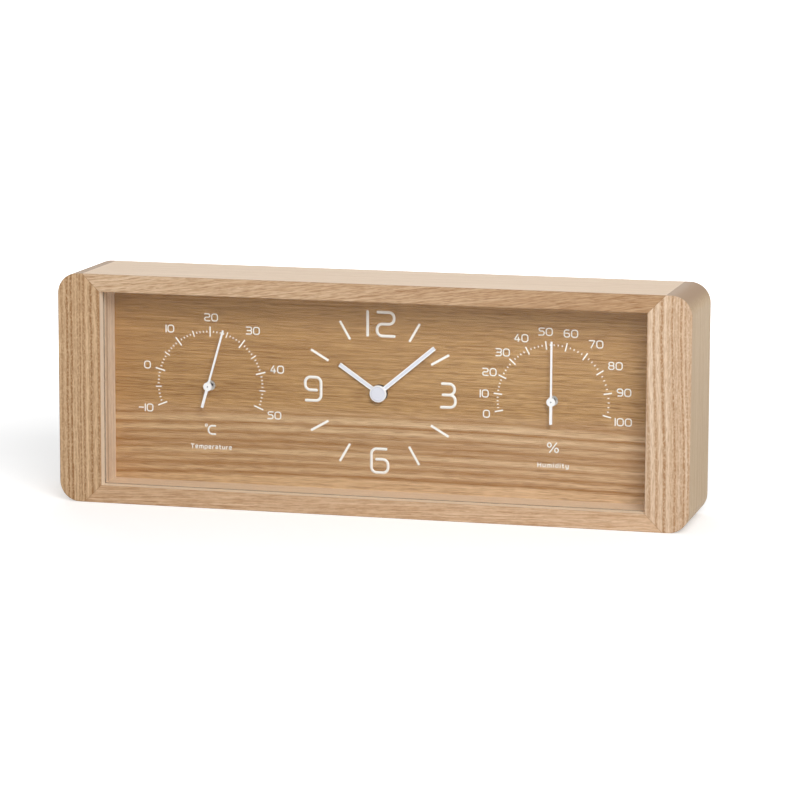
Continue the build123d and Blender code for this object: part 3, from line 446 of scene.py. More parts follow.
def dialVeneer(look):
    finish, tree, surface = newFinish(
        "dialVeneer", Roughness=look["roughness"], Specular_IOR_Level=look["gloss"])
    place, parts = grainPlace(tree, "X", look["slope"], look["heart"])
    grain = useGroup(tree, woodGrain, Place=place, **look["grain"])
    across = objectMillimetres(tree)
    lower = remap(parts["Z"], *look["bandFade"])
    fromMiddle = parts["X"] - look["droopMiddle"]
    level = fromMiddle * fromMiddle * look["droop"] * lower + parts["Z"]
    level += (noise(moved(across, scale=look["warpScale"]), 1.0) - 0.5) * look["warp"]
    level += (noise(moved(across, scale=look["rippleScale"]), 3.0, 0.6) - 0.5) * look["ripple"]
    bands = ramp(level / look["height"], [(height / look["height"], dark) for height, dark in look["bands"]])
    fibres = noise(moved(across, scale=look["fibreScale"]), 3.0, 0.62)
    fine = remap(fibres, *look["fineFibres"])
    above, below = look["plainShares"], look["bandShares"]
    plain = layered(
        look["mid"], (remap(grain["Streaks"], *look["streaks"]), look["pale"]),
        (grain["Rings"] * above["rings"], look["dark"]), (fine * above["fine"], look["dark"]),
        (grain["Fibre"] * above["fibre"], look["dark"]))
    bands *= remap(fibres, *look["bandMottle"], "LINEAR")
    banded = layered(look["bandPale"], (bands, look["bandDark"]), (fine * below["fine"], look["bandDark"]),
                     (grain["Fibre"] * below["fibre"], look["dark"]))
    poreShare = grain["Pores"] * remap(lower, 0.0, 1.0, above["pores"], below["pores"])
    colour = layered(plain, (lower, banded), (poreShare, look["pore"]))
    # painted shade: the veneer is darkened towards the left end, as the light falls off
    fromLeft = remap(parts["X"], -opening["half"], opening["half"] / 2, kind="LINEAR")
    colour = mixColour(1.0, colour, mixColour(fromLeft, look["leftTint"], grey(1.0)), "MULTIPLY")
    coat(surface, colour, grain["Height"], look["relief"])
    return finish


# worn or moulded surfaces share one fine mottle

def surfaceWearGroup():
    look = {"scratchScale": (0.25, 3.0, 3.0), "scratchTurn": (0.3, 0.2, 0.6), "scratches": (0.60, 0.68),
            "smudgeScale": 0.12}
    group, given, out = shaderGroup(
        "surfaceWear", {"Place": None, "Grain Size": 0.3}, ("Grain", "Smudge", "Scratch"))
    place = given["Place"]
    lines = noise(moved(place, scale=look["scratchScale"], turn=look["scratchTurn"]), 2.0)
    plug(out, {"Grain": noise(place, 2.0, 0.6, 1.0 / given["Grain Size"]),
               "Smudge": noise(place, 3.0, 0.55, look["smudgeScale"]),
               "Scratch": remap(lines, *look["scratches"])})
    return group


surfaceWear = surfaceWearGroup()
smudged = (0.3, 0.7)        # where a smudge starts to show, and where it shows fully


def wornWith(tree, grainSize):
    return useGroup(tree, surfaceWear, Place=objectMillimetres(tree), Grain_Size=grainSize)


def finished(name, look):
    # a plain colour with its own mottle, sheen changes and relief
    first, second, grainSize, smooth, rough, relief, metallic = look
    finish, tree, surface = newFinish(name, Metallic=metallic)
    wear = wornWith(tree, grainSize)
    feed(surface.inputs["Roughness"], remap(wear["Smudge"], *smudged, smooth, rough))
    coat(surface, mixColour(wear["Grain"], first, second), wear["Grain"], relief)
    return finish


# two colours, mottle size in millimetres, least and most roughness, relief in metres, metallic
plainLooks = {
    "hand_white": ((223, 224, 236), (229, 230, 241), 0.6, 0.38, 0.5, 4e-6, 0.0),
    "needle_white": ((248, 248, 250), (254, 254, 255), 0.6, 0.38, 0.5, 4e-6, 0.0),
    "pin_grey": ((58, 54, 66), (72, 68, 80), 0.3, 0.3, 0.45, 4e-6, 0.2),
    "brass": ((196, 158, 84), (214, 178, 104), 0.4, 0.22, 0.36, 4e-6, 1.0),
    "screw_steel": ((150, 148, 142), (168, 165, 158), 0.5, 0.24, 0.4, 5e-6, 1.0),
    # the slot colour is painted shade in the recesses of the crossed slots
    "screw_slot": ((56, 54, 50), (76, 72, 66), 0.3, 0.5, 0.7, 6e-6, 0.5),
    "spring_steel": ((150, 152, 156), (172, 174, 178), 0.3, 0.25, 0.4, 3e-6, 1.0),
    "gear_white": ((226, 224, 216), (234, 232, 226), 0.5, 0.35, 0.5, 4e-6, 0.0),
    "gear_green": ((120, 176, 142), (132, 188, 154), 0.5, 0.35, 0.5, 4e-6, 0.0),
    "magnet_grey": ((70, 70, 72), (92, 92, 94), 0.2, 0.4, 0.55, 8e-6, 0.8),
    "stator_iron": ((164, 164, 160), (182, 182, 178), 0.4, 0.3, 0.45, 5e-6, 1.0),
    "bobbin_white": ((222, 220, 210), (230, 228, 220), 0.5, 0.4, 0.55, 5e-6, 0.0),
    "board_green": ((34, 92, 58), (44, 108, 68), 0.35, 0.3, 0.45, 6e-6, 0.0),
    "crystal_can": ((196, 196, 198), (210, 210, 212), 0.3, 0.2, 0.32, 3e-6, 1.0),
    "chip_black": ((26, 26, 28), (34, 34, 36), 0.2, 0.3, 0.5, 6e-6, 0.0),
    "contact_metal": ((200, 196, 186), (214, 210, 200), 0.3, 0.22, 0.36, 3e-6, 1.0),
    "case_black": ((34, 34, 36), (44, 44, 46), 0.35, 0.42, 0.6, 2e-5, 0.0),
    "knob_black": ((40, 40, 42), (50, 50, 52), 0.3, 0.36, 0.5, 1.5e-5, 0.0),
    "cup_metal": ((206, 206, 206), (220, 220, 218), 0.4, 0.26, 0.42, 6e-6, 0.7),
    "bimetal": ((176, 150, 110), (190, 166, 126), 0.3, 0.25, 0.4, 4e-6, 1.0),
    "humidity_strip": ((204, 190, 150), (216, 204, 168), 0.25, 0.35, 0.5, 5e-6, 0.0),
    "copper_wire": ((184, 104, 62), (202, 122, 78), 0.2, 0.25, 0.4, 4e-6, 1.0)}

# the hands and the cap take a white band along their edges: painted highlights
handEdgeHighlight = {         # millimetres from the middle line, or from the middle of the cap
    "edge": 0.6, "edgeFade": (-0.08, 0.08), "edgeColour": (255, 255, 255)}
handLooks = {
    "minute_hand": dict(handEdgeHighlight, angle=50.0), "hour_hand": dict(handEdgeHighlight, angle=304.17),
    "hand_cap": dict(handEdgeHighlight, edge=3.62, edgeColour=(253, 253, 255), ring=3.2, ringFade=(0.1, 0.25),
                     ringShare=0.35, ringColour=(176, 176, 192))}


def edgeHighlightedHand(nodeName, look):
    first, second, grainSize, smooth, rough, relief, metallic = plainLooks["hand_white"]
    finish, tree, surface = newFinish(nodeName.replace("_", " "), Roughness=(smooth + rough) / 2)
    wear = wornWith(tree, grainSize)
    colour = mixColour(wear["Grain"], first, second)
    parts = split(objectMillimetres(tree))
    x, z = parts["X"] - clockCentre[0], parts["Z"] - clockCentre[1]
    if "angle" in look:
        angle = math.radians(look["angle"])
        away = abs(x * math.cos(angle) - z * math.sin(angle))
    else:
        away = length(x, z)
        ring = remap(abs(away - look["ring"]), *look["ringFade"], look["ringShare"], 0.0)
        colour = mixColour(ring, colour, look["ringColour"])
    # painted highlight: white along the hand's edges and round the cap's rim
    edge = fade(away, look["edge"], look["edgeFade"])
    coat(surface, mixColour(edge, colour, look["edgeColour"]), wear["Grain"], relief)
    return finish


def hardboard():
    look = {"dark": (126, 92, 60), "mid": (154, 116, 78), "pale": (178, 142, 102),
            "roughness": 0.62, "relief": 5e-5, "clumpScale": (0.5, 0.5, 0.5), "clumps": (0.35, 0.65),
            "grainSize": 0.5, "fibres": (0.58, 0.72)}
    finish, tree, surface = newFinish("hardboard", Roughness=look["roughness"])
    wear = wornWith(tree, look["grainSize"])
    clumps = noise(moved(objectMillimetres(tree), scale=look["clumpScale"]), 4.0, 0.7)
    colour = layered(look["dark"], (remap(clumps, *look["clumps"]), look["mid"]),
                     (remap(wear["Grain"], *look["fibres"]), look["pale"]))
    coat(surface, colour, wear["Grain"], look["relief"])
    return finish


def clearGlass():
    look = {"tint": (250, 253, 252), "ior": 1.2, "smudgeScale": (0.02, 0.02, 0.02)}
    finish, tree, surface = newFinish("clearGlass", Roughness=0.0, IOR=look["ior"], Transmission_Weight=1.0)
    smudge = noise(moved(objectMillimetres(tree), scale=look["smudgeScale"]), 2.0)
    feed(surface.inputs["Base Color"], mixColour(smudge, look["tint"], grey(1.0)))
    passing = put(tree, "ShaderNodeBsdfTransparent")[0]
    light = put(tree, "ShaderNodeLightPath")
    through = calc("MAXIMUM", light["Is Shadow Ray"], light["Is Diffuse Ray"])
    glass = Wire(tree, surface.outputs[0])
    feed(tree.nodes["Material Output"].inputs["Surface"],
         put(tree, "ShaderNodeMixShader", (through, glass, passing))[0])
    return finish


def batteryLabel():
    look = {"copper": (196, 122, 66), "black": (32, 32, 34), "silver": (190, 190, 188),
            "blackFrom": 0.02, "copperFrom": 0.66, "silverFrom": 0.95, "roughness": 0.28, "coat": 0.5,
            "coatRoughness": 0.15, "grainSize": 0.3, "scratchShare": 0.15, "relief": 4e-6}
    low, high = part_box("battery")
    finish, tree, surface = newFinish("batteryLabel", Roughness=look["roughness"], Coat_Weight=look["coat"],
                                      Coat_Roughness=look["coatRoughness"])
    parts = split(put(tree, "ShaderNodeTexCoord")["Object"])
    colour = ramp(remap(parts["X"], low.x, high.x, kind="LINEAR"), [
        (0.0, look["silver"]), (look["blackFrom"], look["black"]), (look["copperFrom"], look["copper"]),
        (look["silverFrom"], look["silver"]), (1.0, look["silver"])], "CONSTANT")
    wear = wornWith(tree, look["grainSize"])
    colour = mixColour(wear["Scratch"] * look["scratchShare"], colour, look["silver"])
    coat(surface, colour, wear["Grain"], look["relief"])
    return finish


def printWhite():
    look = {"first": (250, 247, 241), "second": (255, 252, 247), "roughness": 0.55,
            "grainSize": 0.12, "relief": 1e-5}
    finish, tree, surface = newFinish("printWhite", Roughness=look["roughness"])
    wear = wornWith(tree, look["grainSize"])
    coat(surface, mixColour(wear["Grain"], look["first"], look["second"]), wear["Grain"], look["relief"])
    return finish


finishes = {slot: finished(slot, look) for slot, look in plainLooks.items()}
finishes["hardboard"] = hardboard()
finishes["clear_glass"] = clearGlass()
finishes["battery_skin"] = batteryLabel()
finishes["dial_veneer"] = dialVeneer(veneerLook)
finishByNode = {
    "frame_left": solidWood("sideWoodLeft", sideLook),
    "frame_right": solidWood("sideWoodRight", rightSideLook),
    "frame_top": solidWood("railWoodTop", railLook),
    "frame_bottom": solidWood("railWoodBottom", bottomRailLook),
    "dial_batten_top": solidWood("battenWood", battenLook),
    "dial_batten_left": solidWood("battenWoodUpright", uprightBattenLook)}
finishByNode["dial_batten_bottom"] = finishByNode["dial_batten_top"]
finishByNode["dial_batten_right"] = finishByNode["dial_batten_left"]
for nodeName, look in handLooks.items():
    finishByNode[nodeName] = edgeHighlightedHand(nodeName, look)
for gauge in ("thermo", "hygro"):
    finishByNode[gauge + "_needle"] = finishes["needle_white"]
    finishByNode[gauge + "_spindle"] = finishes["pin_grey"]
inkWhite = printWhite()

for nodeName, part in nodes.items():
    for partSlot in part.material_slots:
        slotName = partSlot.material.name.split(".")[0]
        partSlot.material = finishByNode.get(nodeName) or finishes[slotName]
print("finishes on all frame nodes")


# geometry node helpers

socketKinds = {        # every other input is a plain number
    "Geometry": "Geometry", "Seed": "Int", "Count": "Int", "Corner Points": "Int", "Centre": "Vector",
    "Material": "Material", "Slot Material": "Material"}


def shapeTree(name, *inputNames):
    tree = bpy.data.node_groups.new(name, "GeometryNodeTree")
    for inputName in ("Geometry",) + inputNames:
        tree.interface.new_socket(inputName, in_out="INPUT",
                                  socket_type="NodeSocket" + socketKinds.get(inputName, "Float"))
    tree.interface.new_socket("Geometry", in_out="OUTPUT", socket_type="NodeSocketGeometry")
    return tree, put(tree, "NodeGroupInput"), put(tree, "NodeGroupOutput").node.inputs[0]


def finishShape(shape, material):
    real = put(shape.tree, "GeometryNodeRealizeInstances", (shape,))[0]
    return put(shape.tree, "GeometryNodeSetMaterial", {"Geometry": real, "Material": material})[0]


def lifted(shape, height):
    return put(shape.tree, "GeometryNodeTransform", {"Geometry": shape, "Translation": vector(z=height)})[0]


def addObject(name, data):
    thing = bpy.data.objects.new(name, data)
    bpy.context.scene.collection.objects.link(thing)
    return thing


def grown(name, base, tree, settings):
    # runs a geometry tree on base and keeps the result as a plain mesh
    source = addObject(name + "Source", base)
    modifier = source.modifiers.new("shape", "NODES")
    modifier.node_group = tree
    for socket in tree.interface.items_tree:
        if socket.in_out == "INPUT" and socket.name in settings:
            modifier[socket.identifier] = settings[socket.name]
    bpy.context.view_layer.update()
    graph = bpy.context.evaluated_depsgraph_get()
    mesh = bpy.data.meshes.new_from_object(source.evaluated_get(graph), depsgraph=graph)
    bpy.data.objects.remove(source)
    mesh.name = name
    return addObject(name, mesh)


# screws with domed heads and crossed slots, in place of the plain ones

screwLook = {"domeShare": 0.42, "domePower": 3.0, "pointShare": 0.3, "rimShare": 0.95,
             "slotLengthShare": 1.15, "slotWidthShare": 0.24, "slotDepthShare": 1.3}


def crossScrewTree(look):
    tree, given, out = shapeTree(
        "crossScrews", "Head Radius", "Head Height", "Dome Height", "Shank Radius", "Shank Length",
        "Slot Length", "Slot Width", "Slot Depth", "Seed", "Material", "Slot Material")
    blank = put(tree, "GeometryNodeMeshCylinder", {
        "Vertices": 32, "Fill Segments": 6, "Radius": given["Head Radius"], "Depth": given["Head Height"]},
        fill_type="TRIANGLE_FAN")[0]
    parts = split(put(tree, "GeometryNodeInputPosition")[0])
    outwards = length(parts["X"], parts["Y"]) / given["Head Radius"]
    drop = outwards ** look["domePower"] * given["Dome Height"] * calc("GREATER_THAN", parts["Z"], 0.0)
    domed = put(tree, "GeometryNodeSetPosition", {"Geometry": blank, "Offset": vector(z=drop * -1.0)})[0]

    top = given["Head Height"] * 0.5
    shank = put(tree, "GeometryNodeMeshCone", {
        "Vertices": 16, "Radius Bottom": given["Shank Radius"] * look["pointShare"],
        "Radius Top": given["Shank Radius"], "Depth": given["Shank Length"]}, fill_type="TRIANGLE_FAN")[0]
    slots = []
    for lengthAxis, widthAxis in (("x", "y"), ("y", "x")):
        size = vector(**{lengthAxis: given["Slot Length"], widthAxis: given["Slot Width"]},
                      z=given["Slot Depth"] * 2.0)
        slot = put(tree, "GeometryNodeMeshCube", {"Size": size})[0]
        slots.append(put(tree, "GeometryNodeStoreNamedAttribute", {
            "Geometry": lifted(slot, top), "Name": "recess", "Value": True},
            data_type="BOOLEAN", domain="FACE")[0])
    cut = [put(tree, "GeometryNodeMeshBoolean", {"Mesh 1": blunt, "Mesh 2": slots},
               operation="DIFFERENCE", solver="EXACT")[0]
           for blunt in (domed, lifted(shank, given["Shank Length"] * -1.0 - top))]
    whole = put(tree, "GeometryNodeJoinGeometry", {0: cut})[0]

    spin = put(tree, "FunctionNodeRandomValue", {3: math.pi / 2, "Seed": given["Seed"]},
               data_type="FLOAT")[1]
    placed = put(tree, "GeometryNodeInstanceOnPoints", {
        "Points": given["Geometry"], "Instance": whole, "Rotation": vector(-math.pi / 2, spin)})[0]
    # painted shade: the slot recesses take the dark slot material
    recess = put(tree, "GeometryNodeInputNamedAttribute", {"Name": "recess"}, data_type="BOOLEAN")[0]
    feed(out, put(tree, "GeometryNodeSetMaterial", {
        "Geometry": finishShape(placed, given["Material"]), "Selection": recess,
        "Material": given["Slot Material"]})[0])
    return tree


def solidsOf(nodeName):
    # the corner points of each separate solid in a frame node
    joined = bmesh.new()
    joined.from_mesh(nodes[nodeName].data)
    bmesh.ops.remove_doubles(joined, verts=joined.verts, dist=1e-6)
    waiting, solids = set(joined.verts), []
    for start in joined.verts:        # in their own order, so that each run lists the solids alike
        if start not in waiting:
            continue
        waiting.remove(start)
        edge, found = [start], []
        while edge:
            corner = edge.pop()
            found.append(corner.co.copy())
            for side in corner.link_edges:
                other = side.other_vert(corner)
                if other in waiting:
                    waiting.remove(other)
                    edge.append(other)
        solids.append(found)
    joined.free()
    return solids


crossScrews = crossScrewTree(screwLook)


def makeScrews(nodeName, look, seed):
    # every screw of a node has the same sizes, and its head faces the back
    spots = []
    for corners in solidsOf(nodeName):
        xs, ys, zs = zip(*corners)
        middle = ((min(xs) + max(xs)) / 2, (min(zs) + max(zs)) / 2)
        headRadius = (max(xs) - min(xs)) / 2
        fromMiddle = [(math.hypot(x - middle[0], z - middle[1]), y) for x, y, z in corners]
        seat = min(y for away, y in fromMiddle if away > headRadius * look["rimShare"])
        shankRadius = max(away for away, y in fromMiddle if y < seat - mm / 10)
        headHeight = max(ys) - seat
        shankLength = seat - min(ys)
        spots.append((middle[0], seat + headHeight / 2, middle[1]))
    sites = bpy.data.meshes.new(nodeName + "Sites")
    sites.from_pydata(spots, [], [])
    piece = grown(nodeName + "Crossed", sites, crossScrews, {
        "Head Radius": headRadius, "Head Height": headHeight, "Dome Height": headHeight * look["domeShare"],
        "Shank Radius": shankRadius, "Shank Length": shankLength,
        "Slot Length": headRadius * look["slotLengthShare"],
        "Slot Width": headRadius * look["slotWidthShare"],
        "Slot Depth": headHeight * look["slotDepthShare"], "Seed": seed,
        "Material": finishes["screw_steel"], "Slot Material": finishes["screw_slot"]})
    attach(piece, "case")
    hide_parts(nodeName)


for seed, holder in enumerate(("back", "movement", "coil", "thermo", "hygro")):
    makeScrews(holder + "_screws", screwLook, seed)
print("screws cut")


# printed numerals, drawn as rounded strokes

ink = {"thickness": 0.04, "layerStep": 0.003, "layers": 4, "endShare": 0.8}


def inkStrokeTree():
    tree, given, out = shapeTree(
        "inkStroke", "Stroke Width", "Ink Thickness", "Corner Radius", "Corner Points", "Material")
    bluntness = put(tree, "GeometryNodeInputRadius")[0]
    rounded = put(tree, "GeometryNodeFilletCurve", {
        "Curve": given["Geometry"], "Count": given["Corner Points"],
        "Radius": given["Corner Radius"] * bluntness, "Limit Radius": True}, mode="POLY")[0]
    facing = put(tree, "GeometryNodeSetCurveNormal", {"Curve": rounded, "Normal": (0, -1, 0)},
                 mode="FREE")[0]
    section = put(tree, "GeometryNodeCurvePrimitiveQuadrilateral", {
        "Width": given["Ink Thickness"], "Height": given["Stroke Width"]})[0]
    stroke = put(tree, "GeometryNodeCurveToMesh", {
        "Curve": facing, "Profile Curve": section, "Fill Caps": True})[0]

    keeper = tree.nodes.new("GeometryNodeCaptureAttribute")
    keeper.capture_items.new("BOOLEAN", "End")
    plug(keeper, {"Geometry": rounded, "End": put(tree, "GeometryNodeCurveEndpointSelection")[0]})
    kept = Outputs(tree, keeper)
    disc = put(tree, "GeometryNodeMeshCylinder", {
        "Vertices": 20, "Radius": given["Stroke Width"] * 0.5,
        "Depth": given["Ink Thickness"] * ink["endShare"]})[0]
    placed = put(tree, "GeometryNodeInstanceOnPoints", {
        "Points": put(tree, "GeometryNodeCurveToPoints", {"Curve": kept["Geometry"]}, mode="EVALUATED")[0],
        "Selection": kept["End"], "Instance": disc, "Rotation": (math.pi / 2, 0, 0)})[0]
    both = put(tree, "GeometryNodeJoinGeometry", {0: [stroke, placed]})[0]
    feed(out, finishShape(both, given["Material"]))
    return tree


inkStroke = inkStrokeTree()
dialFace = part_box("dial_panel")[0].y / mm

# strokes as shares of a sign's box, width across and height up, and a third number makes a corner sharper;
# a stroke that ends where it starts is closed
signShapes = {
    "0": [[(0, 0), (0, 1), (1, 1), (1, 0), (0, 0)]],
    "1": [[(0, 0), (0, 1)]],
    "2": [[(0, 1), (1, 1), (1, 0.5), (0, 0.5), (0, 0), (1, 0)]],
    "3": [[(0, 1), (1, 1), (1, 0.5), (0.15, 0.5)], [(0.5, 0.5), (1, 0.5), (1, 0), (0, 0)]],
    "4": [[(0.62, 1), (0, 0.26, 0.1), (1, 0.26)], [(0.72, 0.58), (0.72, 0)]],
    "5": [[(1, 1), (0.05, 1), (0.05, 0.58), (1, 0.58), (1, 0), (0, 0)]],
    "6": [[(0.85, 1), (0, 1), (0, 0), (1, 0), (1, 0.55), (0.1, 0.55)]],
    "7": [[(0, 1), (1, 1, 0.1), (0.35, 0)]],
    "8": [[(0.06, 0.52), (0.06, 1), (0.94, 1), (0.94, 0.52), (0.06, 0.52)],
          [(0, 0), (0, 0.52), (1, 0.52), (1, 0), (0, 0)]],
    "9": [[(0.15, 0), (1, 0), (1, 1), (0, 1), (0, 0.45), (0.9, 0.45)]],
    "-": [[(0, 0.5), (1, 0.5)]],
    "T": [[(0, 1), (1, 1)], [(0.5, 1), (0.5, 0)]],
    "H": [[(0, 0), (0, 1)], [(1, 0), (1, 1)], [(0, 0.5), (1, 0.5)]],
    "a": [[(0.1, 0.74), (1, 0.74), (1, 0), (0, 0), (0, 0.37), (1, 0.37)]],
    "d": [[(1, 1.06), (1, 0), (0, 0), (0, 0.74), (1, 0.74)]],
    "e": [[(0, 0.37), (1, 0.37), (1, 0.74), (0, 0.74), (0, 0), (0.9, 0)]],
    "i": [[(0, 0), (0, 0.74)], [(0, 1.04), (0, 1.1)]],
    "m": [[(0, 0), (0, 0.74), (0.5, 0.74), (0.5, 0)], [(0.5, 0.74), (1, 0.74), (1, 0)]],
    "p": [[(0, -0.32), (0, 0.74), (1, 0.74), (1, 0), (0, 0)]],
    "r": [[(0, 0), (0, 0.74), (1, 0.74)]],
    "t": [[(0.3, 1.02), (0.3, 0), (1, 0)], [(0, 0.74), (0.95, 0.74)]],
    "u": [[(0, 0.74), (0, 0), (1, 0), (1, 0.74)]],
    "y": [[(0, 0.74), (0, 0), (1, 0)], [(1, 0.74), (1, -0.32), (0.1, -0.32)]]}
scaleType = {"height": 3.35, "stroke": 0.58, "corner": 1.05, "cornerPoints": 6, "gap": 0.98,
             "widths": {"0": 2.9, "1": 0.0, "-": 2.1}, "width": 2.6}
wordType = {"height": 1.8, "stroke": 0.46, "corner": 0.4, "cornerPoints": 4, "width": 1.15,
            "widths": {"T": 1.4, "H": 1.4, "m": 1.9, "i": 0.0, "r": 0.65, "t": 0.7},
            "words": {"Temperature": (-84.7, 26.2, 20.5), "Humidity": (85.4, 25.3, 14.8)}}


def strokesOf(text, centre, kind):
    # centreline paths of signs written round centre, which is (x, z) in millimetres
    widths = [kind["widths"].get(sign, kind["width"]) for sign in text]
    left = centre[0] - (sum(widths) + kind["gap"] * (len(text) - 1)) / 2
    bottom = centre[1] - kind["height"] / 2
    paths = []
    for sign, width in zip(text, widths):
        for points in signShapes[sign]:
            paths.append([(left + across * width, bottom + up * kind["height"], *sharp)
                          for across, up, *sharp in points])
        left += width + kind["gap"]
    return paths


def inked(name, base, tree, settings):
    piece = grown(name, base, tree, dict(
        settings, Material=inkWhite, **{"Ink Thickness": ink["thickness"] * mm}))
    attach(piece, "case")


def onDial(x, z, layer):        # in metres, with later layers a little in front
    return (x * mm, (dialFace - ink["thickness"] / 2 - layer * ink["layerStep"]) * mm, z * mm)


def printedStrokes(name, paths, look):
    line = bpy.data.curves.new(name, "CURVE")
    line.dimensions = "3D"
    for number, points in enumerate(paths):
        closed = points[0] == points[-1]
        corners = points[:-1] if closed else points
        spline = line.splines.new("POLY")
        spline.points.add(len(corners) - 1)
        for point, (x, z, *sharp) in zip(spline.points, corners):
            point.co = (*onDial(x, z, number % ink["layers"]), 1)
            point.radius = sharp[0] if sharp else 1.0
        spline.use_cyclic_u = closed
    inked(name, line, inkStroke, {
        "Stroke Width": look["stroke"] * mm, "Corner Radius": look.get("corner", 0.0) * mm,
        "Corner Points": look.get("cornerPoints", 1)})


# clock numerals: centreline points from the dial centre, in millimetres
clockNumerals = {
    "stroke": 1.35, "corner": 2.6, "cornerPoints": 8,
    "twelve": [[(-6.0, 27.8), (-6.0, 39.2)],
               [(-0.9, 39.2), (7.1, 39.2), (7.1, 33.5), (-1.3, 33.5), (-1.3, 27.7), (7.2, 27.7)]],
    "three": [[(31.0, 5.9), (37.0, 5.9), (37.0, 0.5), (31.4, 0.5)],
              [(34.0, 0.5), (37.4, 0.5), (37.4, -5.5), (30.6, -5.5)]],
    "six": [[(3.3, -27.3), (-4.0, -27.3), (-4.0, -38.9), (4.3, -38.9), (4.3, -32.4), (-1.4, -32.4)]],
    "nine": [[(-31.4, 0.0), (-37.1, 0.0), (-37.1, 6.3), (-29.2, 6.3), (-29.2, -5.1), (-36.6, -5.1)]]}
thermoCentre = (-85.0, 56.5)
thermoNumerals = {
    "20": (0.5, 33.35), "10": (-20.5, 27.05), "0": (-32.1, 8.85), "-10": (-33.0, -12.35),
    "30": (21.6, 27.65), "40": (33.7, 9.2), "50": (32.3, -13.4)}
hygroCentre = (85.0, 56.3)
hygroNumerals = {
    "0": (-32.3, -7.55), "10": (-33.45, 2.25), "20": (-31.0, 12.7), "30": (-24.6, 22.4),
    "40": (-15.65, 29.65), "50": (-3.9, 33.15), "60": (8.35, 32.7), "70": (20.5, 28.1),
    "80": (29.9, 18.15), "90": (34.2, 5.6), "100": (34.05, -8.6)}
unitMarks = {
    "letter": {"stroke": 0.88, "corner": 2.0, "cornerPoints": 8, "centre": (-84.4, 34.5),
               "size": (3.5, 4.1)},
    "ring": {"stroke": 0.42, "centre": (-87.2, 36.75), "size": (1.1, 1.1)},
    "percent": {"stroke": 0.62, "centre": (85.25, 33.9), "size": (1.75, 2.1), "spread": (1.75, 1.2),
                "slash": ((-1.55, -2.3), (1.75, 2.3))}}


def makeClockNumerals(look):
    paths = [[(clockCentre[0] + x, clockCentre[1] + z) for x, z in points]
             for number in ("twelve", "three", "six", "nine") for points in look[number]]
    printedStrokes("clockNumerals", paths, look)


def makeScaleNumerals(name, centre, numerals):
    paths = []
    for text, (x, z) in numerals.items():
        paths += strokesOf(text, (centre[0] + x, centre[1] + z), scaleType)
    printedStrokes(name, paths, scaleType)


def boxed(centre, size, shares):
    # points given as shares of half the size, from the centre
    return [(centre[0] + size[0] / 2 * across, centre[1] + size[1] / 2 * up) for across, up in shares]


def oval(centre, size, count=16):
    angles = [fullTurn * (step % count) / count for step in range(count + 1)]
    return boxed(centre, size, [(math.cos(angle), math.sin(angle)) for angle in angles])


def makeUnitMarks(look):
    letter, ring, percent = look["letter"], look["ring"], look["percent"]
    corners = boxed(letter["centre"], letter["size"], ((1, 1), (-1, 1), (-1, -1), (1, -1)))
    printedStrokes("celsiusLetter", [corners], letter)
    printedStrokes("celsiusRing", [oval(ring["centre"], ring["size"])], ring)
    x, z = percent["centre"]
    spreadX, spreadZ = percent["spread"]
    printedStrokes("percentMark", [
        oval((x - spreadX, z + spreadZ), percent["size"]), oval((x + spreadX, z - spreadZ), percent["size"]),
        [(x + dx, z + dz) for dx, dz in percent["slash"]]], percent)


def makeWords(kind):
    for word, (x, z, wide) in kind["words"].items():
        signsWide = sum(kind["widths"].get(sign, kind["width"]) for sign in word)
        spaced = dict(kind, gap=(wide - signsWide) / (len(word) - 1))
        printedStrokes(word.lower() + "Word", strokesOf(word, (x, z), spaced), kind)


# tick marks round a dial

neverSkip = 0.0


def scaleTickTree():
    tree, given, out = shapeTree(
        "scaleTicks", "Count", "First Angle", "Step Angle", "Bend Angle", "Centre", "Middle Radius",
        "Tick Length", "Tick Width", "Ink Thickness", "Skip Every", "Material")
    number = put(tree, "GeometryNodeInputIndex")[0]
    angle = number * given["Step Angle"] + given["First Angle"] + number * number * given["Bend Angle"]
    radius = given["Middle Radius"]
    spot = vector(calc("SINE", angle) * radius, 0.0, calc("COSINE", angle) * radius)
    ring = put(tree, "GeometryNodeSetPosition", {
        "Geometry": put(tree, "GeometryNodeMeshLine", {"Count": given["Count"]})[0],
        "Position": vectorCalc("ADD", spot, given["Centre"])})[0]
    tick = put(tree, "GeometryNodeMeshCube", {
        "Size": vector(given["Tick Width"], given["Ink Thickness"], given["Tick Length"])})[0]
    skipped = calc("COMPARE", calc("MODULO", number, given["Skip Every"]), 0.0, 0.1)        # within a tenth
    skipped *= calc("GREATER_THAN", given["Skip Every"], neverSkip)
    placed = put(tree, "GeometryNodeInstanceOnPoints", {
        "Points": ring, "Selection": 1.0 - skipped, "Instance": tick, "Rotation": vector(y=angle)})[0]
    feed(out, finishShape(placed, given["Material"]))
    return tree


scaleTicks = scaleTickTree()


def printedTicks(name, centre, look, layer=0):
    inked(name, bpy.data.meshes.new(name), scaleTicks, {
        "Count": look["count"], "First Angle": math.radians(look["firstAngle"]),
        "Step Angle": math.radians(look["stepAngle"]), "Bend Angle": math.radians(look["bendAngle"]),
        "Centre": onDial(*centre, layer), "Middle Radius": look["radius"] * mm,
        "Tick Length": look["length"] * mm, "Tick Width": look["width"] * mm,
        "Skip Every": look["skipEvery"]})


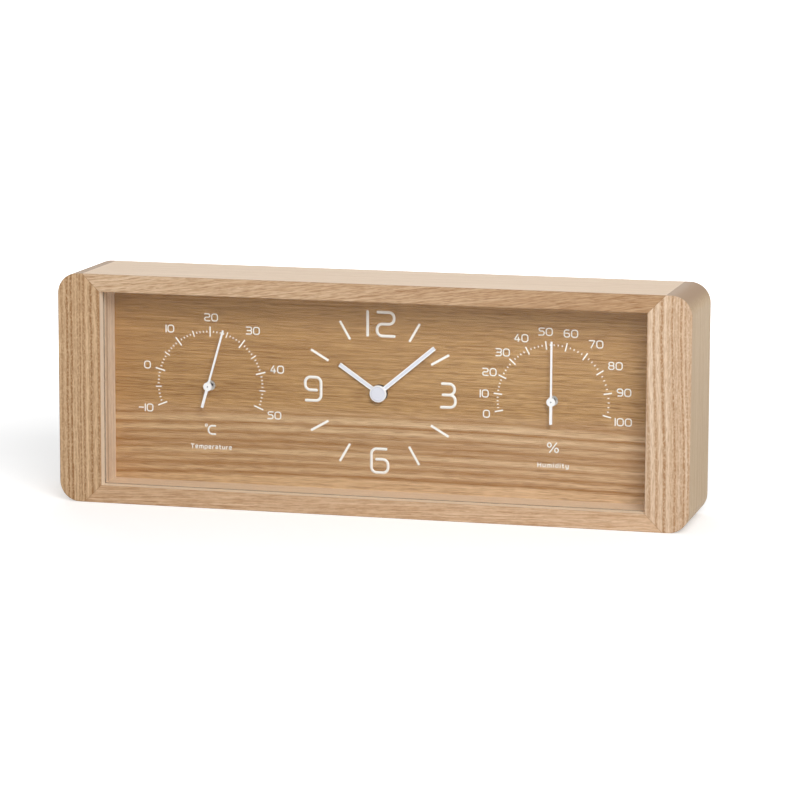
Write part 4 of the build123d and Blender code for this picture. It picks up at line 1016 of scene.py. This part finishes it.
clockTicks = dict(count=12, firstAngle=0.0, stepAngle=30.0, bendAngle=0.0, radius=34.45, length=10.1,
                  width=1.15, skipEvery=3.0)
thermoTen = dict(count=7, firstAngle=-112.17, stepAngle=37.39, bendAngle=0.0, radius=26.4, length=5.0,
                 width=0.65, skipEvery=neverSkip)
thermoTicks = {
    "thermoTicksTen": thermoTen,
    "thermoTicksFive": dict(thermoTen, count=6, firstAngle=-93.475, length=3.0, width=0.52),
    "thermoTicksOne": dict(thermoTen, count=61, stepAngle=3.739, length=0.95, width=0.45, skipEvery=5.0)}
hygroTen = dict(count=11, firstAngle=-102.6, stepAngle=17.4, bendAngle=0.32, radius=26.85, length=4.1,
                width=0.65, skipEvery=neverSkip)
hygroTicks = {
    "hygroTicksTen": hygroTen,
    "hygroTicksTwo": dict(hygroTen, count=51, stepAngle=3.48, bendAngle=0.0128, radius=26.9, length=0.9,
                          width=0.45, skipEvery=5.0)}

makeClockNumerals(clockNumerals)
printedTicks("clockTicks", clockCentre, clockTicks)
makeScaleNumerals("thermoNumerals", thermoCentre, thermoNumerals)
makeScaleNumerals("hygroNumerals", hygroCentre, hygroNumerals)
for centre, ticks in ((thermoCentre, thermoTicks), (hygroCentre, hygroTicks)):
    for tickName, tickLook in ticks.items():
        printedTicks(tickName, centre, tickLook, layer=1)
makeUnitMarks(unitMarks)
makeWords(wordType)
print("dial printed")


# floor, light and camera

def seenDirectly(tree):
    light = put(tree, "ShaderNodeLightPath")
    seen = calc("MAXIMUM", light["Is Camera Ray"], light["Is Glossy Ray"])
    return calc("MAXIMUM", seen, light["Is Transmission Ray"])


def studio():
    look = {"floorColour": (236, 236, 236), "speckColour": (240, 240, 240), "floorSize": 16.0,
            "floorLift": 0.42, "farLift": 1.0, "liftFrom": 230.0, "liftTo": 700.0, "skyStrength": 0.36,
            "speckScale": (0.05, 0.05, 0.05), "aim": (0.02, 0.0, 0.06),
            "lamps": (("keyLamp", (0.567, -1.146, 0.80), (0.65, 0.62), 14.0),
                      ("backLamp", (-0.45, 1.15, 0.95), (1.1, 0.9), 4.5))}
    half = look["floorSize"] / 2
    mesh = bpy.data.meshes.new("floor")
    corners = ((-half, -half, 0), (half, -half, 0), (half, half, 0), (-half, half, 0))
    mesh.from_pydata(corners, [], [(0, 1, 2, 3)])
    floor = addObject("floor", mesh)
    finish, tree, surface = newFinish(
        "floorPaper", Roughness=0.9, Specular_IOR_Level=0.0, Emission_Color=grey(1.0))
    place = objectMillimetres(tree)
    speck = noise(moved(place, scale=look["speckScale"]), 2.0)
    away = put(tree, "ShaderNodeVectorMath", (place,), operation="LENGTH")["Value"]
    lift = remap(away, look["liftFrom"], look["liftTo"], look["floorLift"], look["farLift"])
    plug(surface, {"Base Color": mixColour(speck, look["floorColour"], look["speckColour"]),
                   "Emission Strength": seenDirectly(tree) * lift})
    mesh.materials.append(finish)

    world = bpy.data.worlds.new("studioSky")
    bpy.context.scene.world = world
    world.use_nodes = True
    brightness = remap(seenDirectly(world.node_tree), 0.0, 1.0, look["skyStrength"], 1.0, "LINEAR")
    plug(world.node_tree.nodes["Background"], {"Color": grey(1.0), "Strength": brightness})

    for name, place, size, power in look["lamps"]:
        lamp = bpy.data.lights.new(name, "AREA")
        lamp.shape = "RECTANGLE"
        lamp.size, lamp.size_y = size
        lamp.energy = power
        holder = addObject(name, lamp)
        holder.location = place
        holder.rotation_euler = (Vector(place) - Vector(look["aim"])).to_track_quat("Z", "Y").to_euler()


def camera():
    look = {"turn": 14.387, "height": 9.518, "roll": 0.191, "distance": 1678.449,
            "target": (15.842, -26.0, 57.377), "focalPixels": 3548.128, "frame": 800, "sensor": 36.0,
            "clip": (0.05, 20.0)}
    turn, height, roll = (math.radians(look[name]) for name in ("turn", "height", "roll"))
    level = math.cos(height)
    ahead = Vector((-math.sin(turn) * level, math.cos(turn) * level, -math.sin(height)))
    right = Vector((math.cos(turn), math.sin(turn), 0))
    up = right.cross(ahead)
    right, up = math.cos(roll) * right + math.sin(roll) * up, -math.sin(roll) * right + math.cos(roll) * up
    lens = bpy.data.cameras.new("camera")
    lens.sensor_width = look["sensor"]
    lens.sensor_fit = "HORIZONTAL"
    lens.lens = look["focalPixels"] * look["sensor"] / look["frame"]
    lens.clip_start, lens.clip_end = look["clip"]
    holder = addObject("camera", lens)
    place = (Vector(look["target"]) - ahead * look["distance"]) * mm
    turned = Matrix((right, up, -ahead)).transposed().to_4x4()
    holder.matrix_world = Matrix.Translation(place) @ turned
    bpy.context.scene.camera = holder


studio()
camera()
bpy.context.scene.view_settings.view_transform = "Standard"
print("floor, lamps and camera set")
